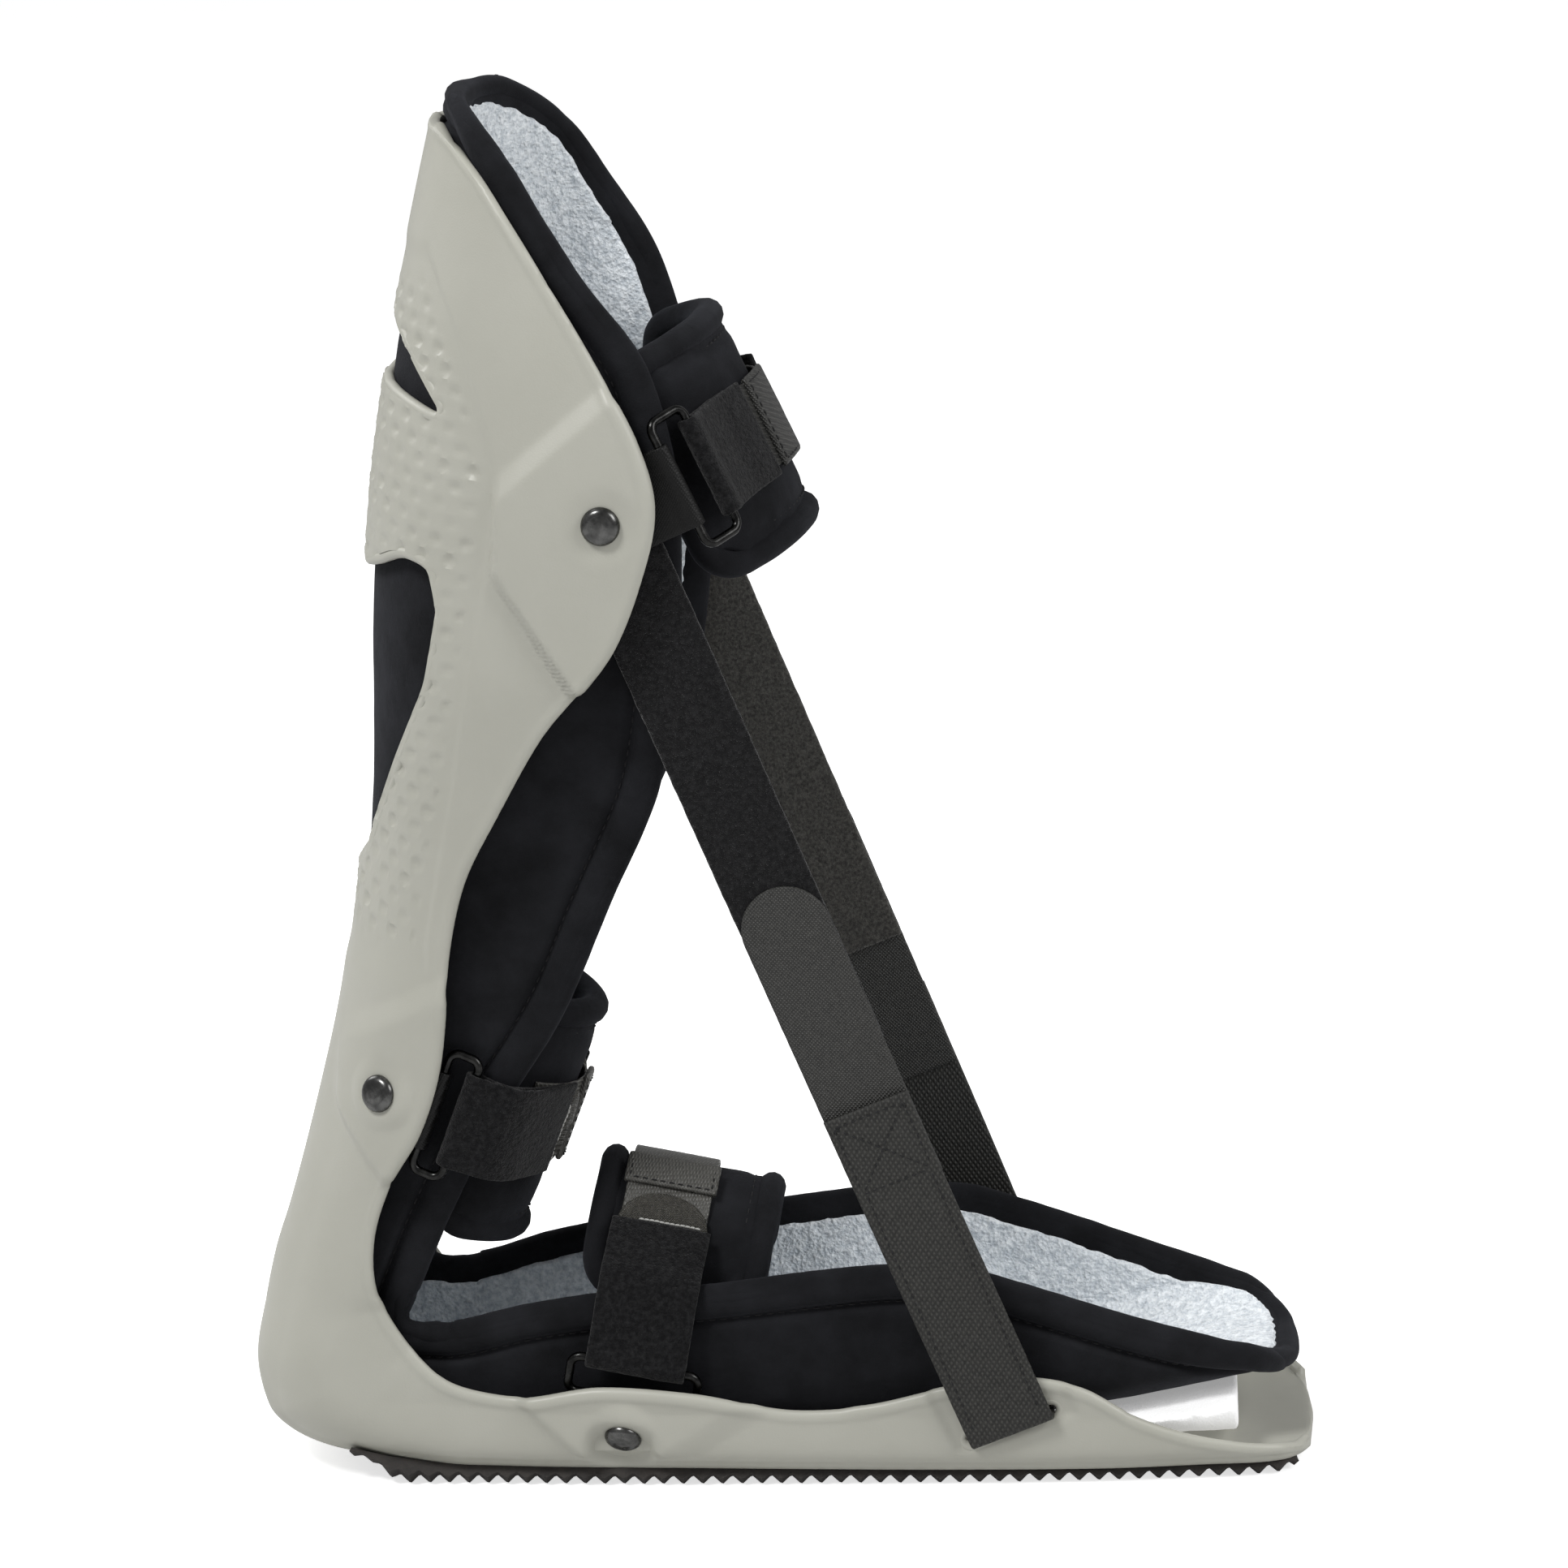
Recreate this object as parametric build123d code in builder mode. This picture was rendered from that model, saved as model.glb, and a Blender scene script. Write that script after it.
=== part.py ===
from build123d import *
import math
import os

# Posterior ankle foot orthosis (night splint) with its padded liner, straps, rings and tread.
#
# Frame: +X towards the toes, +Y to the wearer's left, +Z up. The origin lies on the ground plane, at
# mid-width, under the ankle. Lengths in millimetres, angles in degrees.

# ---------------------------------------------------------------- driving dimensions
SHELL_T = 3.0            # wall of the moulded shell
SPINE_GAP = 0.5          # shell to liner, along the spine and the sole
SIDE_GAP = 7.2           # shell to liner, at the side walls, where the strap ends are riveted
LINER_T = 5.0            # laminated foam and cloth
LINER_SLOPE = 0.03       # outward slope of the liner's walls
BOUND_T = 6.0            # the liner's bound edge
BOUND_W = 5.0            # depth of the bound edge
TERRY_T = 2.0            # looped lining
TERRY_INSET = 9.0        # the lining stops this far short of the edge
PART_GAP = 0.2           # between soft layers that lie on one another
HALF_SPAN = 120.0        # cutters reach past both side walls

RIVET_HEAD_R = 5.1
RIVET_HEAD_H = 1.8
RIVET_HEAD_ROUND = 1.0
HEAD_GAP = 0.02          # head to seat
DRILL_DEPTH = 16.0
RIVET_SHANK_R = 1.95
RIVET_HOLE_R = 2.02
RIVET_TAIL_R = 3.6
RIVET_TAIL_H = 0.8
SEAT_R = 8.5             # flat seat moulded round each rivet
SEAT_PROUD = 1.0
SEAT_ROOT = 2.4          # the seat starts inside the wall

WIRE_R = 1.3             # ring wire
EYE_GAP = 0.06           # wire to the webbing folded round it
CHAPE_LAYER = 0.9        # one layer of the folded tab that holds a ring
TAIL_LAYER = 1.4         # one layer of the looped fastening strap
TAPE_T = 1.0             # woven hook tape
SIDE_STRAP_W = 25.4
SIDE_LAYER = 1.6

TREAD_PITCH = 6.2
TREAD_CREST = 1.2        # flat width of a tooth crest
TREAD_HALF_W = 28.0
SLOT_CENTRE = (121.0, 19.4)
SLOT_TILT = 21.0
SLOT_L = 30.0
SLOT_W = 5.5

# Stations of the bent trough that follows the back of the leg, the heel and the sole: midline point
# x and z, angle of the depth direction above +X, half-width, depth of the rounded part, squareness,
# outward slope of the wall beyond it, how deep the shell reaches and how deep the liner reaches.
STATIONS = [
    (-25.5, 412, -13, 50, 38, 2.0, 0.00, 36, 46),
    (-29.0, 398, -12, 53, 40, 2.0, 0.00, 42, 52),
    (-38.0, 364, -10, 59, 44, 2.0, 0.03, 62, 74),
    (-47.0, 328, -8, 64, 48, 2.0, 0.05, 84, 100),
    (-54.0, 290, -6, 66, 50, 2.0, 0.02, 96, 112),
    (-58.5, 250, -4, 64.5, 48.5, 2.0, 0.02, 92, 112),
    (-60.5, 212, -4, 59, 45, 2.1, 0.02, 66, 100),
    (-64.0, 178, -6, 53, 42, 2.1, 0.02, 52, 86),
    (-70.0, 145, -12, 49, 39, 2.1, 0.02, 50, 76),
    (-79.0, 111, -18, 46, 36, 2.1, 0.00, 48, 66),
    (-90.0, 76, -14, 44, 34, 2.1, 0.00, 46, 54),
    (-95.0, 62, -5.8, 43, 33, 2.1, 0.00, 46, 54),
    (-98.5, 48, 7.3, 42, 32, 2.2, 0.00, 50, 54),
    (-102.0, 30, 21.5, 42, 31, 2.2, 0.00, 54, 55),
    (-99.0, 17, 31.8, 42, 30, 2.3, 0.00, 54, 55),
    (-90.0, 10, 41, 42, 28, 2.4, 0.00, 52, 54),
    (-76.0, 6.5, 52, 42, 26, 2.5, 0.05, 50, 54),
    (-58.0, 5.4, 67, 43, 24, 2.6, 0.10, 44, 52),
    (-36.0, 5.2, 90, 44, 22, 2.7, 0.15, 38, 52),
    (-10.0, 5.1, 90, 46, 21, 2.8, 0.18, 36, 56),
    (30.0, 4.9, 90, 48, 21, 2.9, 0.20, 34, 60),
    (70.0, 4.7, 90, 49, 20, 3.2, 0.18, 34, 66),
    (110.0, 4.5, 90, 50, 19, 3.4, 0.12, 36, 66),
    (145.0, 4.3, 90, 49.5, 18, 3.4, 0.10, 34, 48),
    (175.0, 4.1, 90, 47, 18, 2.9, 0.10, 24, 30),
    (190.0, 4.0, 90, 43.5, 16, 2.8, 0.05, 20, 24),
    (198.0, 3.9, 90, 37.5, 14, 2.7, 0.00, 18, 20),
    (203.0, 3.9, 90, 30.0, 13, 2.6, 0.00, 16, 16),
    (206.0, 3.9, 90, 20.0, 12, 2.5, 0.00, 14, 14),
]
SECTION_POINTS = 9       # per half section
FLOOR_ANGLE = 90         # stations of the sole
FIRST_FLOOR = 18         # index of the first of them

# Front edge of the shell in the side view, from the top of the calf to the toe.
SHELL_EDGE = [
    (-36, 392), (-26, 391), (-11, 383), (3, 366), (13, 347), (22, 322), (29, 310), (33, 294), (28, 269),
    (19, 253), (-4, 224.5), (-17, 203), (-29, 182), (-35, 160), (-37, 141), (-39, 129), (-46, 109),
    (-57, 91), (-62, 76), (-62, 62), (-56, 47), (-43, 32), (-25, 26.5), (4, 30), (30, 28), (59, 22.5),
    (79, 23.5), (100, 28.5), (114, 31.5), (128, 31.5), (141, 28.5), (156, 19.5), (170, 13.8), (188, 9),
    (212, 5.5),
]
# Edge of the liner: the calf panel, then the foot panel; they meet in a notch above the heel.
LINER_CALF_EDGE = [
    (-36, 402), (-25, 401), (-13, 396), (-2, 383), (8, 367), (17, 352), (26, 335), (32, 318), (36, 298),
    (36, 272), (33, 240), (26, 207), (11, 175), (-5, 141), (-24, 112), (-42, 79), (-57, 45),
]
LINER_FOOT_EDGE = [
    (-57, 45), (-40, 45), (-20, 50), (5, 54), (36, 56.5), (65, 60), (89, 62), (108, 61), (124, 56), (157, 44.5),
    (180, 37), (199, 30.5), (210, 27),
]
CHEVRON_WINDOW = [(-70, 350), (-46, 340), (-27, 315.5), (-38, 319), (-49, 323), (-70, 326)]
LONG_WINDOW_TOP = [(-85, 252), (-58, 266), (-42, 275.5), (-33, 273.5)]
LONG_WINDOW_SIDE = [(-33, 273.5), (-31, 262), (-36, 241), (-47, 218), (-56, 197), (-60, 185), (-75, 172)]

TOE_LIFT = 14.5          # the wedge raises the liner's sole by this much
TOE_LIFT_START = 90.0
TOE_LIFT_END = 186.0
WEDGE_BACK = 112.0
WEDGE_FRONT = 185.5
TOE_FADE = (115.0, 190.0)
TOE_LEAST = 0.25
WEDGE_SIDE_GAP = 0.4


def toe_lift(x):
    """How far the wedge lifts the liner's sole at x."""
    share = (x - TOE_LIFT_START) / (TOE_LIFT_END - TOE_LIFT_START)
    return TOE_LIFT * min(max(share, 0.0), 1.05)


def nested(stations, spine, side, lifted):
    """Stations of a surface inside the shell's, by spine on the midline and by side at the walls."""
    inside = []
    for x, z, angle, width, depth, square, _, _, reach in stations:
        lift = toe_lift(x) if lifted and angle == FLOOR_ANGLE else 0.0
        across = min(side, 0.6 * width)
        step = math.radians(angle)
        inside.append((x + spine * math.cos(step), z + spine * math.sin(step) + lift, angle,
                       width - across, depth - spine, square, LINER_SLOPE, reach, reach))
    return inside


def half_section(width, depth, square, slope, reach, inset):
    """Points (depth, y) of half a trough section, from the midline outwards, moved in by inset."""
    steps = 90
    curve = []
    for i in range(steps + 1):
        turn = (i / steps) ** 1.5 * math.pi / 2
        curve.append((depth * (1 - math.cos(turn)), width * math.sin(turn) ** (2 / square)))
    for i in range(1, steps + 1):
        further = 60.0 * i / steps
        curve.append((depth + further, width + slope * further))
    moved = [(inset, 0.0)]
    for before, here, after in zip(curve, curve[1:], curve[2:]):
        dn = after[0] - before[0]
        dy = after[1] - before[1]
        length = math.hypot(dn, dy)
        n = here[0] + inset * dy / length
        y = here[1] - inset * dn / length
        if y > 0.5 and n < reach:
            moved.append((n, y))
    return evenly(moved, SECTION_POINTS)


def evenly(points, count):
    """Points spaced evenly along a polyline."""
    along = [0.0]
    for a, b in zip(points, points[1:]):
        along.append(along[-1] + math.dist(a, b))
    chosen = []
    j = 0
    for i in range(count):
        want = along[-1] * i / (count - 1)
        while j < len(along) - 2 and along[j + 1] < want:
            j += 1
        share = (want - along[j]) / (along[j + 1] - along[j])
        a, b = points[j], points[j + 1]
        chosen.append((a[0] + share * (b[0] - a[0]), a[1] + share * (b[1] - a[1])))
    return chosen


def section_plane(x, z, angle):
    """Plane of a section: local x is the depth direction and local y is +Y."""
    step = math.radians(angle)
    return Plane((x, 0, z), x_dir=(math.cos(step), 0, math.sin(step)), z_dir=(-math.sin(step), 0, math.cos(step)))


def mirrored(half):
    """A whole section from its half: from one edge to the other."""
    return [(n, -y) for n, y in half[:0:-1]] + half


def trough(stations, thickness, start=0.0):
    """A bent trough of even thickness whose outer face is the stations' surface moved in by start."""
    with BuildPart() as band:
        for x, z, angle, width, depth, square, slope, reach, _ in stations:
            outer = mirrored(half_section(width, depth, square, slope, reach, start))
            inner = mirrored(half_section(width, depth, square, slope, reach, start + thickness))
            with BuildSketch(section_plane(x, z, angle)):
                with BuildLine():
                    out = Spline(*outer)
                    back = Spline(*inner)
                    Line(out @ 0, back @ 0)
                    Line(out @ 1, back @ 1)
                make_face()
        loft(ruled=True)
    return band


def filled_trough(stations, start):
    """The room inside a trough."""
    with BuildPart() as room:
        for x, z, angle, width, depth, square, slope, reach, _ in stations:
            edge = mirrored(half_section(width, depth, square, slope, reach, start))
            with BuildSketch(section_plane(x, z, angle)):
                with BuildLine():
                    out = Spline(*edge)
                    Line(out @ 1, out @ 0)
                make_face()
        loft(ruled=True)
    return room


def inset_points(points, amount):
    """A polyline moved towards its left-hand side by amount."""
    moved = []
    for i, (x, z) in enumerate(points):
        a = points[max(i - 1, 0)]
        b = points[min(i + 1, len(points) - 1)]
        dx, dz = b[0] - a[0], b[1] - a[1]
        length = math.hypot(dx, dz)
        moved.append((x + amount * dz / length, z - amount * dx / length))
    return moved


def side_profile(edges, far):
    """Prism across the whole width whose front boundary is the edge curves; far closes it behind."""
    with BuildPart() as prism:
        with BuildSketch(Plane.XZ):
            with BuildLine():
                curves = [Spline(*edge) for edge in edges]
                ends = [c @ 1 for c in curves[:-1]]
                starts = [c @ 0 for c in curves[1:]]
                for a, b in zip(ends, starts):
                    if (a - b).length > 0.01:
                        Line(a, b)
                Polyline(curves[-1] @ 1, *far, curves[0] @ 0)
            make_face()
        extrude(amount=HALF_SPAN, both=True)
    return prism


BEHIND = [(230, -30), (-150, -30), (-150, 440), (-36, 440)]


def liner_profile(inset):
    """The liner's side profile, drawn in by inset from its edge, and by less over the low toe."""
    calf = inset_points(LINER_CALF_EDGE, inset)
    foot = inset_points(LINER_FOOT_EDGE, inset)
    for i, (x, z) in enumerate(LINER_FOOT_EDGE):
        if x > TOE_FADE[0]:
            faded = inset * (1 - (x - TOE_FADE[0]) / (TOE_FADE[1] - TOE_FADE[0]))
            foot[i] = (x, z - max(faded, TOE_LEAST * inset))
    notch_x, notch_z = LINER_FOOT_EDGE[0]
    notch = (notch_x - 1.25 * inset, notch_z - 0.25 * inset)
    calf[-1] = notch
    foot[0] = notch
    return side_profile([calf, foot], BEHIND)


# ---------------------------------------------------------------- front straps
# Each front strap lies in a plane that holds the Y axis and one direction in the side view. Points in
# it are (p, w): p along that direction from the rivet, w outwards from mid-width. The strap's width
# runs along the plane's normal.
STRAP_HALF = 14.5
CHAPE_HALF = 12.0
RING_HALF = 18.5         # half the long bar of a ring, to the wire's centre
RING_CORNER = 3.0
TAPE_HALF = 12.5
NEAR_SIDE = -1           # the wearer's right
FAR_SIDE = 1
SIDES = {"right": NEAR_SIDE, "left": FAR_SIDE}

STRAPS = {
    "calf": dict(
        origin=(18.3, 286.3), tilt=24, wall=66.3, lean=0.0, grip=7.95,
        chape=[(23.2, 61.5), (12, 61.5), (0, 61.5), (-8, 61.5)],
        ring=(32.0, 52.4),
        tail=[(32.0, 52.4), (35.0, 44.2), (37.9, 36.0), (41.0, 30.4), (43.9, 24.4)],
        pad=dict(centre=12, a=34, b=46, low=-33, high=35),
        tape=(48, 52), patch=(20, -4)),
    "ankle": dict(
        origin=(-55.0, 120.0), tilt=-22, wall=43.0, lean=31.0, grip=7.15,
        chape=[(15, 41.2), (10.5, 40.95), (5, 38.95), (0, 35.95), (-3.6, 33.0)],
        ring=(24, 42.25),
        tail=[(24, 42.25), (30, 42.65), (35, 41.6), (40, 36.9), (44, 30.5), (47.5, 23.5), (50.3, 15.7)],
        pad=dict(centre=20, a=32, b=28.3, low=-40, high=36),
        tape=(52, 40), patch=(24, 4)),
    "instep": dict(
        origin=(9.5, 16.7), tilt=78, wall=43.6, lean=38.7, grip=7.3,
        chape=[(9.6, 41.3), (6.5, 40.8), (3.7, 39.0), (0.8, 36.2)],
        ring=(21, 43.6),
        tail=[(21, 43.6), (30, 43.2), (38, 42.4), (44, 40.9), (50, 35.0), (54, 30.0), (57.5, 25.2)],
        pad=dict(centre=30, a=40, b=29.0, low=-32, high=21),
        tape=(46, 40), patch=(30, 12)),
}


def strap_plane(strap, q=0.0):
    """The plane of a front strap: local x is p and local y is +Y; q moves it along the strap's width."""
    tilt = math.radians(strap["tilt"])
    x, z = strap["origin"]
    along = (math.cos(tilt), 0, math.sin(tilt))
    across = (-math.sin(tilt), 0, math.cos(tilt))
    return Plane((x + q * across[0], 0, z + q * across[2]), x_dir=along, z_dir=across)


def rivet_plane(strap, side):
    """Plane on the outside of the shell at a strap's rivet; its normal is the rivet's axis, outwards."""
    flat = strap_plane(strap)
    lean = math.radians(strap["lean"])
    along, outwards = flat.x_dir, flat.y_dir * side
    return Plane(flat.origin + outwards * strap["wall"], x_dir=flat.z_dir,
                 z_dir=along * -math.sin(lean) + outwards * math.cos(lean))


def strip(plane, path, thickness, half_width, side):
    """A band of even thickness along a smooth path of points (p, w), to one side of the orthosis."""
    outer = [(p, side * w) for p, w in inset_points(path, thickness / 2)]
    inner = [(p, side * w) for p, w in inset_points(path, -thickness / 2)]
    with BuildPart() as band:
        with BuildSketch(plane):
            with BuildLine():
                a = Spline(*outer)
                b = Spline(*inner)
                Line(a @ 0, b @ 0)
                Line(a @ 1, b @ 1)
            make_face()
        extrude(amount=half_width, both=True)
    return band


def looped(strap, path, layer, half_width, side):
    """Webbing folded round a ring's bar, its two layers sewn together along the path from the bar."""
    plane = strap_plane(strap)
    doubled = strip(plane, path, 2 * layer, half_width, side)
    with BuildPart() as fold:
        add(doubled.part)
        with BuildSketch(plane):
            with Locations((path[0][0], side * path[0][1])):
                Circle(WIRE_R + EYE_GAP + layer)
        extrude(amount=half_width, both=True)
        with BuildSketch(plane):
            with Locations((path[0][0], side * path[0][1])):
                Circle(WIRE_R + EYE_GAP)
        extrude(amount=HALF_SPAN, both=True, mode=Mode.SUBTRACT)
    return fold


def drill(plane, radius, depth):
    """A round cutter along a rivet's axis."""
    with BuildPart() as hole:
        with BuildSketch(plane.offset(depth)):
            Circle(radius)
        extrude(amount=-2 * depth)
    return hole


def make_chape(strap, side):
    """The folded tab riveted inside the shell that holds a ring."""
    fold = looped(strap, strap["chape"], CHAPE_LAYER, CHAPE_HALF, side)
    hole = drill(rivet_plane(strap, side), RIVET_HOLE_R, DRILL_DEPTH)
    with BuildPart() as tab:
        add(fold.part)
        add(hole.part, mode=Mode.SUBTRACT)
    return tab


def make_ring(strap, side):
    """Rectangular wire ring: one long bar in the chape, the other in the fastening strap."""
    flat = strap_plane(strap)
    start = flat.from_local_coords((strap["chape"][0][0], side * strap["chape"][0][1], 0))
    end = flat.from_local_coords((strap["ring"][0], side * strap["ring"][1], 0))
    reach = (end - start).length
    plane = Plane((start + end) * 0.5, x_dir=(end - start).normalized(), z_dir=flat.z_dir.cross(end - start))
    with BuildSketch(plane) as outline:
        RectangleRounded(reach, 2 * RING_HALF, RING_CORNER)
    wire = outline.sketch.face().outer_wire()
    with BuildPart() as ring:
        with BuildSketch(Plane(wire @ 0, z_dir=wire % 0)):
            Circle(WIRE_R)
        sweep(path=wire)
    return ring


def make_rivet(strap, side):
    """A set rivet: flat-domed head outside, shank, and clinched tail against the webbing."""
    plane = rivet_plane(strap, side).offset(SEAT_PROUD)
    with BuildPart() as rivet:
        with BuildSketch(plane.offset(HEAD_GAP)):
            Circle(RIVET_HEAD_R)
        extrude(amount=RIVET_HEAD_H)
        rim = rivet.edges().sort_by(lambda e: (e.center() - plane.origin).dot(plane.z_dir))[-1]
        fillet(rim, RIVET_HEAD_ROUND)
        with BuildSketch(plane.offset(HEAD_GAP)):
            Circle(RIVET_SHANK_R)
        extrude(amount=-strap["grip"] - SEAT_PROUD - RIVET_TAIL_H)
        with BuildSketch(plane.offset(-strap["grip"] - SEAT_PROUD)):
            Circle(RIVET_TAIL_R)
        extrude(amount=-RIVET_TAIL_H)
    return rivet


def arc_path(pad, outset, begin, end, count):
    """Points at even turns on the pad's outer ellipse grown by outset; angles from the front."""
    points = []
    for i in range(count):
        turn = math.radians(begin + (end - begin) * i / (count - 1))
        points.append((pad["centre"] + (pad["a"] + outset) * math.cos(turn), (pad["b"] + outset) * math.sin(turn)))
    return points


PAD_T = 7.5
PAD_CORNER = 11.0
PAD_WRAP = 84.0          # how far round each way the pad reaches, from the front


def make_pad(strap):
    """Cushion under a front strap, curved over the front of the leg or foot."""
    pad = strap["pad"]
    plane = strap_plane(strap)
    back = min(p for p, w in arc_path(pad, -PAD_T / 2, PAD_WRAP, -PAD_WRAP, 2)) - 3
    middle = (pad["high"] + pad["low"]) / 2
    arch = strip(plane, arc_path(pad, -PAD_T / 2, PAD_WRAP, -PAD_WRAP, 25), PAD_T, HALF_SPAN, FAR_SIDE)
    with BuildPart() as cushion:
        add(arch.part)
        with BuildSketch(Plane(plane.origin, x_dir=plane.x_dir, z_dir=(0, -1, 0))):
            with Locations((back + HALF_SPAN / 2, middle)):
                RectangleRounded(HALF_SPAN, pad["high"] - pad["low"], PAD_CORNER)
        extrude(amount=HALF_SPAN, both=True, mode=Mode.INTERSECT)
    return cushion


def make_tape(strap):
    """Woven hook tape sewn across the front of a pad."""
    near, far = strap["tape"]
    path = arc_path(strap["pad"], PART_GAP + TAPE_T / 2, near, -far, 17)
    return strip(strap_plane(strap), path, TAPE_T, TAPE_HALF, NEAR_SIDE)


def make_patch(strap):
    """Folded end of the hook tape."""
    near, far = strap["patch"]
    path = arc_path(strap["pad"], 2 * PART_GAP + TAPE_T + TAPE_T, near, far, 7)
    return strip(strap_plane(strap), path, 2 * TAPE_T, TAPE_HALF + 1.5, NEAR_SIDE)


# ---------------------------------------------------------------- side straps
# The flat side straps run from the calf rivet to the slot in the sole's wall. Distances s run along
# the strap from the calf rivet, w outwards from the middle of the inner layer.
SIDE_TOP_W = 59.3        # middle of the inner layer at the calf rivet, from mid-width
SIDE_END_W = 49.8        # and at the slot
SIDE_BAND_END = 165.0
TAB_TIP = 113.0
TAB_END = 207.0
WEB_START = 181.0
WEB_END = 288.4
TAB_T = 1.2
SIDE_LAYERS_GAP = 0.15
WEB_BEAD_H = 6.6         # folded end of the webbing, too thick to pull back through the slot
WEB_BEAD_T = 2.8
WEB_BEAD_W = -12.2
WEB_BEAD_HALF = 6.5
WEB_BEAD_LIFT = 0.34     # the bead sits this much above the middle of the folded layer


def side_plane(side, along_width=True):
    """Plane of a side strap seen edge on (local x along it, local y = +Y), or seen flat."""
    x0, z0 = STRAPS["calf"]["origin"]
    x1, z1 = SLOT_CENTRE
    along = Vector(x1 - x0, side * (SIDE_END_W - SIDE_TOP_W), z1 - z0).normalized()
    across = Vector(z0 - z1, 0, x1 - x0).normalized()
    origin = Vector(x0, side * SIDE_TOP_W, z0)
    if along_width:
        return Plane(origin, x_dir=along, z_dir=across)
    return Plane(origin, x_dir=along, z_dir=across.cross(along) * side)


def make_side_band(side):
    """Upper half of a side strap: brushed loop band fixed at the calf rivet."""
    with BuildPart() as band:
        with BuildSketch(side_plane(side, along_width=False).offset(-SIDE_LAYER / 2)):
            with Locations((SIDE_BAND_END / 2, 0)):
                Rectangle(SIDE_BAND_END, SIDE_STRAP_W)
            Circle(SIDE_STRAP_W / 2)
            Circle(RIVET_HOLE_R, mode=Mode.SUBTRACT)
        extrude(amount=SIDE_LAYER)
    return band


def make_hook_tab(side):
    """Round-ended hook tab pressed onto the band."""
    length = TAB_END - TAB_TIP - SIDE_STRAP_W / 2
    with BuildPart() as tab:
        with BuildSketch(side_plane(side, along_width=False).offset(SIDE_LAYER / 2 + SIDE_LAYERS_GAP)):
            with Locations((TAB_END - length / 2, 0)):
                Rectangle(length, SIDE_STRAP_W)
            with Locations((TAB_TIP + SIDE_STRAP_W / 2, 0)):
                Circle(SIDE_STRAP_W / 2)
        extrude(amount=TAB_T)
    return tab


def make_side_web(side):
    """Lower half of a side strap: webbing sewn to the tab and anchored through the slot."""
    inner = SIDE_LAYER / 2 + 2 * SIDE_LAYERS_GAP + TAB_T
    outer = inner + SIDE_LAYER
    with BuildPart() as web:
        with BuildSketch(side_plane(side)):
            with Locations(((WEB_START + WEB_END) / 2, side * (inner + outer) / 2)):
                Rectangle(WEB_END - WEB_START, SIDE_LAYER)
            with Locations((WEB_END - SIDE_LAYER / 2, side * (outer + WEB_BEAD_W) / 2)):
                Rectangle(SIDE_LAYER, outer - WEB_BEAD_W)
        extrude(amount=SIDE_STRAP_W / 2, both=True)
        with BuildSketch(side_plane(side)):
            with Locations((WEB_END - SIDE_LAYER / 2 - WEB_BEAD_LIFT, side * (WEB_BEAD_W + WEB_BEAD_T / 2))):
                Rectangle(WEB_BEAD_H, WEB_BEAD_T)
        extrude(amount=WEB_BEAD_HALF, both=True)
    return web


# ---------------------------------------------------------------- tread and wedge
TREAD_HEEL = -75.0
TREAD_TOE = 203.0
TREAD_WALL = 1.6         # rubber above the valleys
TREAD_NOSE = 26.0        # rounding of the tread's outline in plan


def sole_height(x):
    """Underside of the shell on the midline at x."""
    below = [(s[0], s[1]) for s in STATIONS if s[0] > -80 and s[1] < 7]
    for (x0, z0), (x1, z1) in zip(below, below[1:]):
        if x0 <= x <= x1:
            return z0 + (z1 - z0) * (x - x0) / (x1 - x0)
    return below[-1][1]


def make_tread():
    """Ribbed rubber sole: flat-topped teeth across the width."""
    top = [(x, sole_height(x) - 0.05) for x in [TREAD_HEEL, -58, -36, 30, 110, 175, TREAD_TOE]]
    teeth = []
    count = int((TREAD_TOE - TREAD_HEEL) / TREAD_PITCH)
    first = round(TREAD_HEEL / TREAD_PITCH) + 1
    for i in range(first, first + count - 1):
        x = i * TREAD_PITCH
        valley = sole_height(x - TREAD_PITCH / 2) - TREAD_WALL
        teeth += [(x - TREAD_PITCH / 2, valley), (x - TREAD_CREST / 2, 0), (x + TREAD_CREST / 2, 0)]
    with BuildPart() as tread:
        with BuildSketch(Plane.XZ):
            with BuildLine():
                Polyline(*top, *reversed(teeth), close=True)
            make_face()
        extrude(amount=HALF_SPAN, both=True)
        with BuildSketch(Plane.XY.offset(-1)):
            with Locations(((TREAD_HEEL + TREAD_TOE) / 2, 0)):
                RectangleRounded(TREAD_TOE - TREAD_HEEL, 2 * TREAD_HALF_W, TREAD_NOSE)
        extrude(amount=12, mode=Mode.INTERSECT)
    return tread


def make_wedge(room):
    """Foam wedge that lifts the toes: fills the shell's toe under the liner."""
    base = [(x, sole_height(x) + SHELL_T + SPINE_GAP) for x in (WEDGE_BACK, WEDGE_FRONT)]
    top = [(x, z + toe_lift(x) - PART_GAP) for x, z in base]
    with BuildPart() as wedge:
        add(room.part)
        with BuildSketch(Plane.XZ):
            with BuildLine():
                Polyline((WEDGE_BACK, 0), (WEDGE_FRONT, 0), top[1], top[0], close=True)
            make_face()
        extrude(amount=HALF_SPAN, both=True, mode=Mode.INTERSECT)
    return wedge


# ---------------------------------------------------------------- pieces
def save(build, name):
    """Names a finished piece and writes it to its own file."""
    build.part.label = name
    export_step(build.part, f"parts/{name}.step")


os.makedirs("parts", exist_ok=True)

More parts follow.
